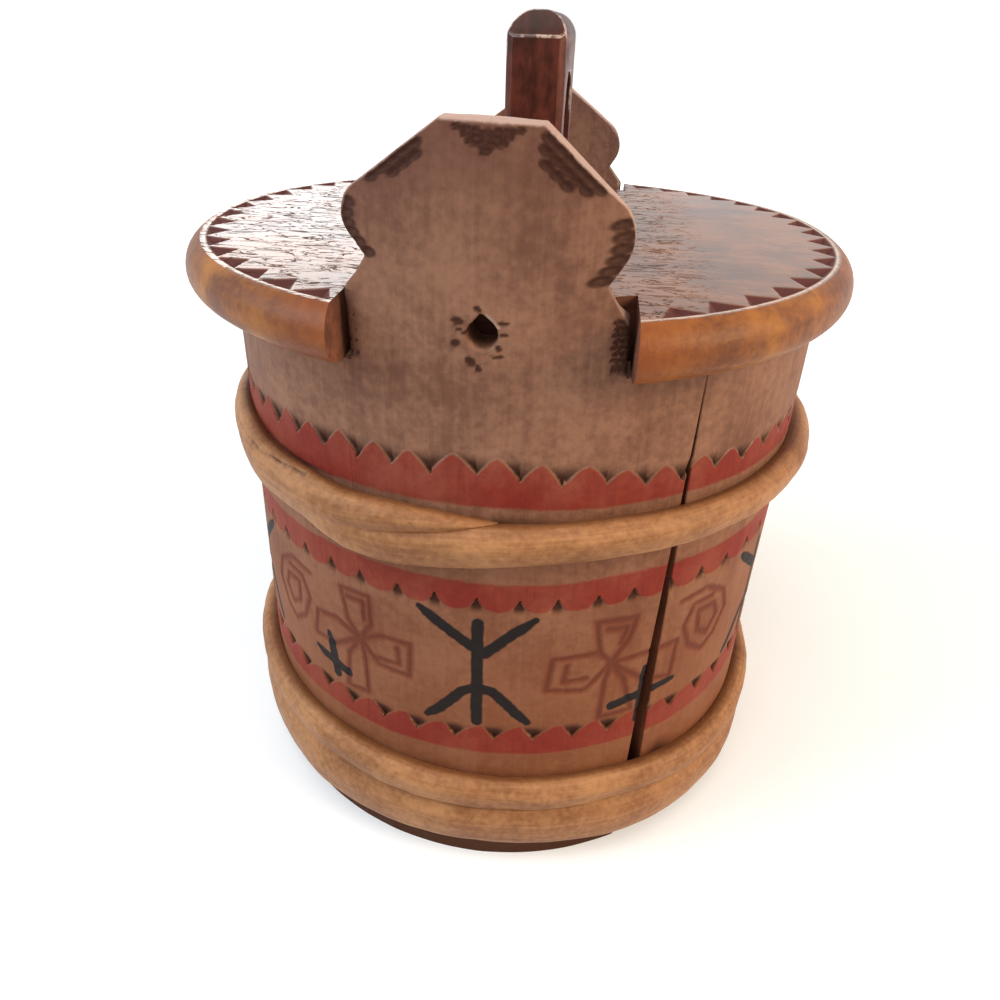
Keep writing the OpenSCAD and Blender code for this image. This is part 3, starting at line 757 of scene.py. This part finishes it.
def stave_grid(left, right, ear):
    """Columns in degrees and rows in mm of a stave: fine where it is carved,
    coarse under the hoops. Also the angle of the sides of the ear."""
    rows = [(0, 0.4), (0.8, 2.2), (5.2, 5), (20, 10), (50, 0.55), (72, 0.75), (112, 0.55), (128, 4),
            (152, 0.55), (170, 2), (188, 0.5)]
    fine = 0.36
    if not ear:
        rows = np.concatenate([steps(*rows, RIM_Z - 0.35), [RIM_Z - 0.1, RIM_Z]])
        columns = steps((left, 0.12), (left + fine, 0.31), (right - fine, 0.12), right)
        return columns, rows, 0.0
    side = math.degrees(math.asin(ear["half"] / RIM_R))
    low, high = ear_outline(ear)[1:]
    top = LID_TOP + ear["top"][1]
    hole_z = PEG_HOLE[1]
    rows = steps(*rows, (RIM_Z, 1.17), (hole_z - 8, 0.72), (hole_z - 3, 0.75), (hole_z + 3, 0.72),
                 (hole_z + 8, 0.64), (LID_TOP + ear["notch"][1], 0.55), (LID_TOP + low, 0.6),
                 (LID_TOP + high, 0.6), (top - 0.7, 0.22), top)
    square, rim = (math.degrees(math.asin(v / RIM_R)) for v in (3.0, 8.0))
    half = steps((0, 0.29), (square, 0.3), (rim, 0.31), (side - fine, 0.12), side)
    columns = np.concatenate([steps((left, 0.12), (left + fine, 0.3), -side)[:-1], -half[::-1], half[1:],
                              steps((side, 0.31), (right - fine, 0.12), right)[1:]])
    return columns, rows, side


def slab(columns, rows, wanted, joinable):
    """Closed flat slab in whole grid numbers. Its front is the full grid, and its
    back is joined up into large faces. Materials: 0 stained, 1 bare, 2 joints."""
    bm = whole_grid(len(columns) - 1, len(rows) - 1)
    spare = []
    for face in bm.faces:
        i, j = (int(v) for v in face.calc_center_median().xy)
        if not wanted((columns[i] + columns[i + 1]) / 2, (rows[j] + rows[j + 1]) / 2):
            spare.append(face)
    if spare:
        bmesh.ops.delete(bm, geom=spare, context="FACES")
    front = set(bm.faces)
    made = bmesh.ops.extrude_face_region(bm, geom=bm.faces[:], use_keep_orig=True)["geom"]
    raised = [g for g in made if isinstance(g, bmesh.types.BMVert)]
    bmesh.ops.translate(bm, vec=(0, 0, 1), verts=raised)
    groups = {}
    floors = (6, *BOARD_GROOVE[:2], 60, 95, 130, 160, RIM_Z, 200, 210, 216, 222, 230, 238)
    for face in bm.faces:
        if face in front:
            continue
        x, y, depth = face.calc_center_median()
        i, j = min(int(x), len(columns) - 2), min(int(y), len(rows) - 2)
        c, z = (columns[i] + columns[i + 1]) / 2, (rows[j] + rows[j + 1]) / 2
        is_joint = depth < 0.9 and abs(x - round(x)) < 0.01
        face.material_index = 0 if z > RIM_Z else 2 if is_joint else 1
        if depth > 0.9 and joinable(c, z):
            groups.setdefault((i // 10, int(np.searchsorted(floors, z))), []).append(face)
    for faces in groups.values():
        bmesh.ops.dissolve_faces(bm, faces=faces, use_verts=False)
    bmesh.ops.dissolve_verts(bm, verts=[v for v in bm.verts if len(v.link_edges) == 2])
    return bm


def rounded(distance, radius):
    """How far a surface drops at this distance from a rounded edge."""
    near = np.clip(radius - distance, 0, radius)
    return radius - np.sqrt(radius ** 2 - near ** 2)


def round_hole(x, z, hole):
    """Spreads a square hole of 3 mm half width into its worn shape. Also the
    distance of each point from the edge of the hole."""
    dx, dz = x - hole[0], z - hole[1]
    far = np.maximum(np.abs(dx), np.abs(dz))
    worn = read_line(np.degrees(np.arctan2(dz, dx)), HOLE_WORN, 1)
    ring = worn + (np.clip(far, 3, 8) - 3.0) * (8.0 - worn) / 5.0
    share = ease(0, 1, (far - 3.0) / 5.0)
    scale = np.where(far < 8.0, share + (1 - share) * ring / (np.hypot(dx, dz) + 1e-9), 1.0)
    return hole[0] + dx * scale, hole[1] + dz * scale, np.hypot(dx, dz) * scale - worn


def stave(name, left, right, materials, turn=0.0, ear=None, edges=None, marks=(), hole=None):
    """One stave: a slab wrapped round the tub and carved outside, with its ear."""
    columns, rows, side_c = stave_grid(left, right, ear)

    def wanted(c, z):
        if ear and z > RIM_Z and abs(c) > side_c:
            return False
        return not (hole and abs(z - hole[1]) < 3.0 and abs(c) < math.degrees(math.asin(3.0 / RIM_R)))

    def joinable(c, z):
        return not (ear and ear["pared"] and z > RIM_Z)

    mesh = to_mesh(name, slab(columns, rows, wanted, joinable))
    grid = read_points(mesh)
    c = np.interp(grid[:, 0], np.arange(len(columns)), columns)
    z = np.interp(grid[:, 1], np.arange(len(rows)), rows)
    back = grid[:, 2] > 0.5
    radius = np.where(back, inner_r(z), body_r(z))
    theta = c.copy()
    if edges:
        share = (c - left) / (right - left)
        start, stop = edges(z, radius)
        theta += (stop - right) * ease(0.6, 1.0, share) + (start - left) * ease(0.4, 0.0, share)
    # Only the edges of the opened seam are worn round
    worn_left, worn_right = (0.05, 0.05) if not edges else (0.05, 0.3) if ear else (0.3, 0.05)
    drop = np.maximum(rounded((c - left) * DEG * radius, worn_left),
                      rounded((right - c) * DEG * radius, worn_right))
    # Distances to edges that are painted pale, part wear and part highlight
    wear_and_highlight = np.full_like(z, 9.0)
    # Painted shade of the cuts and the notches, and the paring of the back, start at nothing
    cut_shade, pared, notch_shade_and_dirt = np.zeros_like(z), np.zeros_like(z), np.zeros_like(z)
    if not ear:
        drop = np.maximum(drop, rounded(RIM_Z - z, 0.35))
    else:
        above = (z > RIM_Z + 0.01) | ((z > RIM_Z - 0.01) & back & (np.abs(c) <= side_c + 1e-6))
        line, _, high = ear_outline(ear)
        over = z - LID_TOP
        wide = np.interp(over, line[:, 0], line[:, 1])
        x = np.sin(c * DEG) * RIM_R / ear["half"] * wide
        side = np.clip((wide - np.abs(x)) * np.where(over > high, 0.75, 0.95), 0, 20)
        end = np.clip(ear["top"][1] - over, 0, 20)
        # The ear's outline is painted pale, part wear and part painted highlight
        worn = np.minimum(side, end) + 0.6 * (1 - ease(10, 26, over))
        wear_and_highlight = np.where(above & (over > -0.5), worn, 9)
        soften = np.maximum(ease(-16, -10, over), 0.4)
        drop = np.where(above, rounded(np.minimum(side, end), 0.6) * soften, drop)
        # The back of the ear is pared thin towards its sides
        in_reach = ease(-1, 6, over) * (1 - 0.65 * ease(20, 41, over)) * above
        pared = ear["pared"] * (1 - ease(0, 8, side)) * in_reach
        # Painted shade, with some dirt, beside the notches of the lid
        notch_shade_and_dirt = 0.9 * np.exp(-side / 3.0) * (above & (over < 0.5) & ~back)
        if hole:
            x, z, rim = round_hole(x, z, hole)
            near = above & (rim < 3)
            drop = np.where(near, np.maximum(drop, rounded(np.clip(rim, 0, 9), 0.9)), drop)
            # Painted shade inside the rim of the peg hole, more on its back
            cut_shade = np.where(near & (rim < 0.3), np.where(back, 0.45, 0.15), cut_shade)
            # A pale arc at the upper right of the hole: painted highlight, with wear
            painted_paler = near & ~back & (x > 0.5) & (z > hole[1] + 1)
            wear_and_highlight = np.where(painted_paler, np.minimum(wear_and_highlight, np.abs(rim - 0.3) * 0.7), wear_and_highlight)
        x, bent = bend_ear(ear, x, z - LID_TOP)
        z = np.where(above, LID_TOP + bent, z)
        x = x + ear["shift"]
        radius = np.where(back, inner_r(z) + pared, body_r(z))
        theta = np.where(above, np.degrees(np.arcsin(np.clip(x / radius, -1, 1))), theta)
        theta = np.maximum(theta, left)
    radius = np.where(back, inner_r(z) + pared, body_r(z))
    seen = wrap(theta + turn)
    depth, values = frieze(seen, z)
    if marks:
        # Gouges, with painted shade round them
        dug, dark = gouges(np.sin(theta * DEG) * radius, z, marks)
        depth = depth + dug * (z > RIM_Z - 5)
        cut_shade = np.maximum(cut_shade, np.where(back, 0, dark * (z > RIM_Z - 5)))
    values["carved_shade"] = np.where(back, cut_shade, np.maximum(values["carved_shade"], cut_shade))
    values["edge_wear_highlight"] = np.where(back, wear_and_highlight, np.minimum(values["edge_wear_highlight"], wear_and_highlight))
    values["red"] = np.where(back, -9.0, values["red"])
    values["painted_shade"] = np.maximum(values["painted_shade"], notch_shade_and_dirt)
    for label in ("line", "ink"):
        values[label] = np.where(back, 9.0, values[label])
    wander = 0.12 * sway(seen * 3, 0.8)
    radius = np.where(back, radius, radius - depth - drop + wander)
    angle = (theta + turn) * DEG
    write_points(mesh, settle(np.sin(angle) * radius, z), -np.cos(angle) * radius, z)
    for label, numbers in values.items():
        keep_value(mesh, label, numbers)
    face_out(mesh)
    place(name, mesh, "tub", name.replace("carved_", ""), "stave_wood", materials, 32)


def lean_edge(total):
    """Angle of an edge of the dried-out seam, which leans away from the top."""
    def edge(z, r):
        lean = total * np.clip(RIM_Z - z, 0, RIM_Z) / (RIM_Z + 2)
        return STAVE_RIGHT - np.degrees(np.arcsin(lean / r))
    return edge


class TINE_OT_staves(bpy.types.Operator):
    """Carve and paint the ten staves"""

    bl_idname = "tine.staves"
    bl_label = "Staves"

    def execute(self, context):
        upright = (1, 1, 0.04)
        bare = grained_wood("bare_pine_inside", linear("#84603f"), context.scene.tine_colours.bare, upright)
        joint = grained_wood("aged_stave_joint", linear("#4a2616"), linear("#7a472e"), upright, 0.85, 0.2)
        materials = [stained_pine(), bare, joint]
        left, right = -STAVE_LEFT + HALF_GAP, STAVE_RIGHT - HALF_GAP
        opened, leaning = lean_edge(SEAM_LEAN + SEAM_OPEN), lean_edge(SEAM_LEAN)

        def front_edges(z, r):
            return left + 0 * z, np.minimum(opened(z, r), right)

        stave("carved_front_ear_stave", left, right, materials, ear=FRONT_EAR, edges=front_edges,
              marks=ear_marks(FRONT_EAR) + hole_marks(), hole=PEG_HOLE)
        stave("carved_back_ear_stave", left, right, materials, 180, BACK_EAR, marks=ear_marks(BACK_EAR))
        sweep = (180 - STAVE_LEFT - STAVE_RIGHT) / SIDE_STAVES
        for side, turn in (("right", 0), ("left", 180)):
            for i in range(SIDE_STAVES):
                a = STAVE_RIGHT + i * sweep + HALF_GAP
                b = STAVE_RIGHT + (i + 1) * sweep - HALF_GAP

                def seam_edges(z, r, b=b):
                    return leaning(z, r) + HALF_GAP, b + 0 * z

                stave(f"carved_{side}_stave_{i + 1}", a, b, materials, turn,
                      edges=seam_edges if side == "right" and i == 0 else None)
        return {"FINISHED"}


# Hoops

def wound(lines, lap, spare=26, thinning=40):
    """Stations of a withy that goes once round and overlaps itself at an angle."""
    out = []
    for a in range(-spare, 361 + spare, 4):
        at = wrap(lap + a)
        top, low = read_line(at, lines, 1), read_line(at, lines, 2)
        tall = top - low
        full = ease(-spare, thinning - spare, a) * (1 - ease(360 + spare - thinning, 360 + spare, a))
        if a < 180:
            top = low + tall * (0.08 + 0.92 * full)
        else:
            low = top - tall * (0.08 + 0.92 * full)
        out.append((lap + a, top, low, 7.2 * (0.05 + 0.95 * full)))
    return out


def strand(name, node_name, stations, material, seed, split=None):
    """One withy wound round the tub along its stations, flat at the wall and
    round outside. A split is (angle, share up, angle, share up) of a crack."""
    stations = np.array(stations, dtype=float)
    start, stop = stations[0, 0], stations[-1, 0]
    count, ring = int((stop - start) / 0.7), 26
    mesh = to_mesh(name, whole_grid(count, ring))
    grid = read_points(mesh)
    angle = start + grid[:, 0] / count * (stop - start)
    top, low, bulge = (np.interp(angle, stations[:, 0], stations[:, k]) for k in (1, 2, 3))
    # Round the section from the lower corner at the wall to the upper one, then back
    turn = grid[:, 1] / ring
    outer = turn <= 0.85
    psi = (turn / 0.85 - 0.5) * 2 * 118 * DEG
    out = np.where(outer, (np.cos(psi) + 0.4695) / 1.4695, 0.0)
    out = np.clip(out, 0, 1) ** 0.85
    corner = math.sin(118 * DEG)
    up = np.where(outer, np.sin(psi), corner - (turn - 0.85) / 0.15 * 2 * corner)
    wobble = 1 + 0.07 * sway(angle * 1.7, seed) + 0.03 * sway(angle * 5, seed + 1)
    facet = 0.2 * np.sin(psi * 4 + 0.9 * sway(angle * 1.5, seed)) * out * np.clip(bulge / 5, 0, 1)
    z = (top + low) / 2 + (top - low) / 2 * up + 0.3 * sway(angle, seed + 3)
    crack = np.full_like(z, 9.0)
    if split:
        share = np.interp(angle, [split[0], split[2]], [split[1], split[3]])
        inside = (angle > split[0]) & (angle < split[2])
        crack = np.where(inside & outer, np.abs(up - share) * (top - low) / 2, 9.0)
    swell = bulge * out * wobble + facet - 1.1 * (1 - ease(0, 0.9, crack))
    radius = body_r(z) + 0.05 + np.maximum(swell, 0)
    turn_round = angle * DEG
    write_points(mesh, settle(np.sin(turn_round) * radius, z), -np.cos(turn_round) * radius, z)
    lay = np.stack([turn_round * MID_R, (top - low) / 2 * up, bulge * out + 40 * seed], 1)
    keep_value(mesh, "lay", lay * MM)
    keep_value(mesh, "crown", out * np.clip(bulge / 3, 0.4, 1))
    keep_value(mesh, "split", crack)
    face_out(mesh, ring + 2)
    place(name, mesh, "tub", node_name, "hoop_withy", [material], 50)


class TINE_OT_hoops(bpy.types.Operator):
    """Wind the three split withies round the tub"""

    bl_idname = "tine.hoops"
    bl_label = "Hoops"

    def execute(self, context):
        withy = split_withy()
        strand("wound_upper_hoop", "upper_hoop", UPPER_HOOP, withy, 0.6, (300, 0.45, 329, 0.93))
        for name, lines, seed in (("foot_hoop_top", FOOT_TOP, 2.4), ("foot_hoop_low", FOOT_LOW, 4.1)):
            strand("wound_" + name, name, wound(lines, LAPS[name]), withy, seed)
        return {"FINISHED"}


# Lid and handle

FLAT_R = 105.1
BULLNOSE = 9.3
UNDER_ROUND = 12.5
CHIP_PITCH = 7.42


def cut_by(piece, cutter):
    """Takes a solid out of a piece and drops the solid."""
    step = piece.modifiers.new("cut", "BOOLEAN")
    step.operation = "DIFFERENCE"
    step.solver = "EXACT"
    step.object = cutter
    seen = piece.evaluated_get(bpy.context.evaluated_depsgraph_get())
    result = bpy.data.meshes.new_from_object(seen)
    piece.modifiers.clear()
    spare = (piece.data, cutter.data)
    piece.data = result
    bpy.data.objects.remove(cutter)
    for mesh in spare:
        bpy.data.meshes.remove(mesh)


def scratch_solid(name, bm):
    """An object from a bmesh, for cutting."""
    bmesh.ops.recalc_face_normals(bm, faces=bm.faces)
    made = bpy.data.objects.new(name, to_mesh(name, bm))
    bpy.context.scene.collection.objects.link(made)
    return made


def notch_cutter(low_x, high_x, front):
    """Solid of an ear's notch in the lid: a block less the round behind the ear."""
    bm = bmesh.new()
    bmesh.ops.create_cube(bm, size=1)
    bmesh.ops.scale(bm, vec=((high_x - low_x) * MM, 0.08, 0.04), verts=bm.verts)
    middle = ((low_x + high_x) / 2 * MM, front * 0.112, (LID_TOP - 8) * MM)
    bmesh.ops.translate(bm, vec=middle, verts=bm.verts)
    block = scratch_solid("notch_block", bm)
    bm = bmesh.new()
    bmesh.ops.create_cone(bm, cap_ends=True, segments=360, radius1=0.0861, radius2=0.0861, depth=0.08)
    bmesh.ops.translate(bm, vec=(0, 0, (LID_TOP - 8) * MM), verts=bm.verts)
    cut_by(block, scratch_solid("notch_round", bm))
    return block


def rim_chips(x, y):
    """How far inside a triangular chip of the lid each point is, in mm."""
    theta = np.degrees(np.arctan2(x, -y))
    r = np.hypot(x, y)
    deepest = np.zeros_like(r)
    for side, start in ((-1, 21.6), (1, 24.2)):
        a = (theta * side) % 360
        number = np.floor((a - start) / CHIP_PITCH)
        middle = start + (number + 0.46) * CHIP_PITCH
        t = (a - middle) * DEG * 104.0
        half = 6.6 + 0.2 * np.sin(number * 2.7)
        reach = 7.4 + 0.4 * np.sin(number * 1.9)
        inward = 104.1 + 0.25 * np.sin(number * 3.1) - r
        to_side = (half * (1 - inward / reach) - np.abs(t)) * reach / np.hypot(half, reach)
        row = (number >= 0) & (a < 159.5)
        deepest = np.where(row, np.maximum(deepest, np.minimum(inward, to_side)), deepest)
    return deepest


class TINE_OT_lid(bpy.types.Operator):
    """Turn the lid board, cut its two notches and chip its rim"""

    bl_idname = "tine.lid"
    bl_label = "Lid board"

    def execute(self, context):
        s = context.scene.tine_sizes
        # Profile from the middle of the top, over the rounded rim, to the middle below
        profile = [(r, LID_TOP) for r in steps((0, 30), (90, 3), (95.5, 0.48), FLAT_R)[:-1]]
        mid_z = LID_TOP - LID_T / 2
        reach = math.asin(LID_T / 2 / BULLNOSE)
        for a in np.linspace(reach, 0, 9):
            profile.append((LID_R - BULLNOSE + BULLNOSE * math.cos(a), mid_z + BULLNOSE * math.sin(a)))
        for a in np.linspace(0, math.pi / 2, 12)[1:]:
            profile.append((LID_R - UNDER_ROUND * (1 - math.cos(a)), mid_z - LID_T / 2 * math.sin(a)))
        profile += [(r, LID_TOP - LID_T) for r in (96.0, 80.0, 40.0, 0.0)]
        bm = bmesh.new()
        points = [bm.verts.new((0, -r * MM, z * MM)) for r, z in profile]
        line = [bm.edges.new(pair) for pair in zip(points[:-1], points[1:])]
        bmesh.ops.spin(bm, geom=points + line, cent=(0, 0, 0), axis=(0, 0, 1), dvec=(0, 0, 0),
                       angle=2 * math.pi, steps=1180, use_merge=True, use_duplicate=False)
        bmesh.ops.remove_doubles(bm, verts=bm.verts, dist=1e-6)
        board = scratch_solid("turned_lid_board", bm)
        cut_by(board, notch_cutter(-37.6, 37.35, -1))
        cut_by(board, notch_cutter(-30.8, 37.2, 1))
        mesh = board.data.copy()
        bpy.data.objects.remove(board)
        # Materials: 0 rim, 1 top, 2 underside, 3 walls of the notches, end grain darkened with painted
        # shade
        for face in mesh.polygons:
            n, at = face.normal, face.center
            wall = abs(n.x) > 0.95 and abs(at.x) < 0.0395 or at.xy.length < 0.087
            face.material_index = 1 if n.z > 0.99 else 2 if n.z < -0.99 else 3 if wall else 0
        x, y, z = read_points(mesh).T / MM
        r = np.hypot(x, y)
        on_top = z > LID_TOP - 0.01
        dug = np.clip(rim_chips(x, y), 0, 9) * on_top
        # The chips get painted shade
        keep_value(mesh, "carved_shade", np.clip(dug / 0.6, 0, 1))
        # A pale ring of painted highlight, with wear, where the top meets the rounded rim
        keep_value(mesh, "edge_wear_highlight", np.where(z > LID_TOP - 1.2, np.abs(r - FLAT_R + 0.1), 9.0))
        wander = 0.12 * sway(np.degrees(np.arctan2(x, -y)), 1) * (r > 106)
        z = z - np.minimum(dug * 0.8, s.rim_chip / MM) - wander
        # The board is thinner at the back and a little out of round at the right
        share = (z - LID_TOP + LID_T) / LID_T
        z = z - 2.6 * np.clip((y - 32) / 78, 0, 1) ** 1.4 * share * (0.85 + 0.15 * x / 100)
        write_points(mesh, x - 2.0 * np.clip(x / LID_R, 0, 1) ** 3, y, z)
        below = grained_wood("bare_pine_lid_underside", linear("#7d5937"), linear("#ad845a"), (0.05, 1, 1))
        # The notch walls: end grain darkened with painted shade
        wall = grained_wood("notch_wall_with_painted_shade", linear("#4e2a1b"), linear("#85503a"), (0.05, 1, 1))
        place("chipped_lid_board", mesh, "lid", "lid_board", "lid_wood",
              [worn_rim(), crackled_top(), below, wall], 26)
        return {"FINISHED"}


class TINE_OT_handle(bpy.types.Operator):
    """Finish the bow handle with pale edges, part worn and part painted highlight"""

    bl_idname = "tine.handle"
    bl_label = "Bow handle"

    def execute(self, context):
        bm = bmesh.new()
        bm.from_mesh(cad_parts["handle_bow"].data)
        bmesh.ops.remove_doubles(bm, verts=bm.verts, dist=2e-5)
        bmesh.ops.dissolve_limit(bm, angle_limit=2 * DEG, verts=bm.verts, edges=bm.edges)
        bmesh.ops.recalc_face_normals(bm, faces=bm.faces)
        crisp = [e for e in bm.edges if len(e.link_faces) == 2 and e.calc_face_angle() > 24 * DEG
                 and min(v.co.z for v in e.verts) > (LID_TOP + 0.2) * MM]
        # The bevels take the pale edge material: wear and painted highlight
        bmesh.ops.bevel(bm, geom=crisp, offset=0.00055, offset_type="OFFSET", segments=2, profile=0.5,
                        affect="EDGES", material=1, clamp_overlap=True)
        place("bow_handle", to_mesh("bow_handle", bm), "lid", "handle_bow", "handle_wood",
              [painted_handle(), handle_edge_wear_highlight()], 35)
        return {"FINISHED"}


class TINE_OT_inside(bpy.types.Operator):
    """Finish the bottom board, battens, pegs and wedges"""

    bl_idname = "tine.inside"
    bl_label = "Bottom, battens and pegs"

    def execute(self, context):
        board = grained_wood("planed_pine_bottom", linear("#8a6743"), linear("#b8946a"), (0.04, 1, 1))
        batten = grained_wood("split_pine_batten", linear("#86603d"), linear("#b38a5f"), (1, 0.04, 1))
        peg = grained_wood("whittled_birch_peg", linear("#8f6b45"), linear("#c4a074"), (1, 1, 0.1), 0.6)
        for name, material in (("bottom_board", board), ("lid_batten_left", batten),
                               ("lid_batten_right", batten), ("batten_pegs", peg),
                               ("handle_wedges", peg)):
            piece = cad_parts[name]
            if not piece.material_slots:
                raise RuntimeError(name + " has no material slot")
            for slot in piece.material_slots:
                slot.link = "OBJECT"
                slot.material = material
        return {"FINISHED"}


# Stage

def lamp(name, at, aim, size, power, colour):
    """A studio softbox aimed at a point."""
    data = bpy.data.lights.new(name, "AREA")
    data.shape = "RECTANGLE"
    data.size, data.size_y = size
    data.energy = power
    data.color = colour
    made = bpy.data.objects.new(name, data)
    bpy.context.scene.collection.objects.link(made)
    made.location = at
    made.rotation_euler = (Vector(aim) - Vector(at)).to_track_quat("-Z", "Y").to_euler()


def seen_plainly(tree):
    """1 for what the camera, a gloss or a glass sees directly, and 0 for light."""
    total = node(tree, "ShaderNodeLightPath", out=0)
    for ray in (3, 6):
        other = node(tree, "ShaderNodeLightPath", out=ray)
        total = node(tree, "ShaderNodeMath", {"operation": "ADD", "use_clamp": True}, {0: total, 1: other})
    return total


class TINE_OT_stage(bpy.types.Operator):
    """Set the floor, the lamps, the world and the camera"""

    bl_idname = "tine.stage"
    bl_label = "Stage"

    def execute(self, context):
        scene = context.scene
        floor = bpy.data.objects.new("studio_floor", to_mesh("studio_floor", whole_grid(2, 2)))
        floor.data.transform(Matrix.Scale(10, 4) @ Matrix.Translation((-1, -1, 0)))
        scene.collection.objects.link(floor)
        made, t, pos = new_material("pale_studio_paper")
        # The paper glows white to the camera, more so far off, and keeps the shadow
        far = node(t, "ShaderNodeVectorMath", {"operation": "LENGTH"}, {0: pos}, 1)
        far = node(t, "ShaderNodeMapRange", SMOOTH, {0: far, 1: 0.25, 2: 1.6, 3: 0.3, 4: 1.0})
        glow = node(t, "ShaderNodeMath", {"operation": "MULTIPLY"}, {0: seen_plainly(t), 1: far})
        paper = node(t, "ShaderNodeBsdfDiffuse", feed={"Color": linear("#e4e4e4")})
        light = node(t, "ShaderNodeEmission", feed={"Strength": glow})
        both = node(t, "ShaderNodeAddShader", feed={0: paper, 1: light})
        node(t, "ShaderNodeOutputMaterial", feed={"Surface": both})
        floor.data.materials.append(made)

        lamp("top_softbox", (-0.35, -0.55, 1.7), (0, 0, 0.1), (1.2, 1.2), 15, (1, 1, 1))
        lamp("left_softbox", (-1.5, -0.5, 1.1), (0, 0, 0.12), (0.9, 0.9), 18, (0.74, 0.88, 1))
        lamp("right_softbox", (1.5, -0.45, 1.0), (0, 0, 0.12), (0.9, 0.9), 26, (1, 0.81, 0.56))
        lamp("glare_softbox", (-0.55, 1.45, 0.53), (-0.07, 0, 0.2), (0.7, 0.5), 3.1, (1, 1, 1))

        world = bpy.data.worlds.new("white_studio")
        scene.world = world
        world.use_nodes = True
        t = world.node_tree
        t.nodes.clear()
        level = node(t, "ShaderNodeMapRange", feed={0: seen_plainly(t), 1: 0.0, 2: 1.0, 3: 0.27, 4: 1.0})
        sky = node(t, "ShaderNodeBackground", feed={"Color": (1, 1, 1, 1), "Strength": level})
        node(t, "ShaderNodeOutputWorld", feed={"Surface": sky})

        # Camera fitted to the photograph: its right, up and forward ways
        right, up = Vector((0.9925, 0.1196, 0.0261)), Vector((-0.0856, 0.5249, 0.8469))
        ahead = Vector((-0.0876, 0.8427, -0.5312))
        data = bpy.data.cameras.new("photo_camera")
        data.sensor_width = 36.0
        data.lens = 27.3186
        data.clip_start = 0.01
        camera = bpy.data.objects.new("photo_camera", data)
        scene.collection.objects.link(camera)
        turn = Matrix((right, up, -ahead)).transposed().to_quaternion().to_matrix().to_4x4()
        camera.matrix_world = Matrix.Translation(Vector((23.67, -273.94, 58.15 + LID_TOP)) * MM) @ turn
        scene.camera = camera
        scene.view_settings.view_transform = "Standard"
        return {"FINISHED"}


class TINE_PT_panel(bpy.types.Panel):
    """Lists the settings and the steps of the tine box"""

    bl_idname = "TINE_PT_panel"
    bl_label = "Tine box"
    bl_space_type = "VIEW_3D"
    bl_region_type = "UI"
    bl_category = "Tine"

    def draw(self, context):
        for group in (context.scene.tine_sizes, context.scene.tine_colours):
            column = self.layout.column(align=True)
            for name in group.__annotations__:
                column.prop(group, name)
        for step in STEPS:
            self.layout.operator(step.bl_idname)


STEPS = (TINE_OT_staves, TINE_OT_hoops, TINE_OT_lid, TINE_OT_handle, TINE_OT_inside, TINE_OT_stage)
CLASSES = (TineSizes, TineColours) + STEPS + (TINE_PT_panel,)


def register():
    for each in CLASSES:
        bpy.utils.register_class(each)
    bpy.types.Scene.tine_sizes = PointerProperty(type=TineSizes)
    bpy.types.Scene.tine_colours = PointerProperty(type=TineColours)


def unregister():
    del bpy.types.Scene.tine_colours
    del bpy.types.Scene.tine_sizes
    for each in reversed(CLASSES):
        bpy.utils.unregister_class(each)


def main():
    register()
    bpy.ops.tine.staves()
    bpy.ops.tine.hoops()
    bpy.ops.tine.lid()
    bpy.ops.tine.handle()
    bpy.ops.tine.inside()
    bpy.ops.tine.stage()


if __name__ == "__main__":
    main()
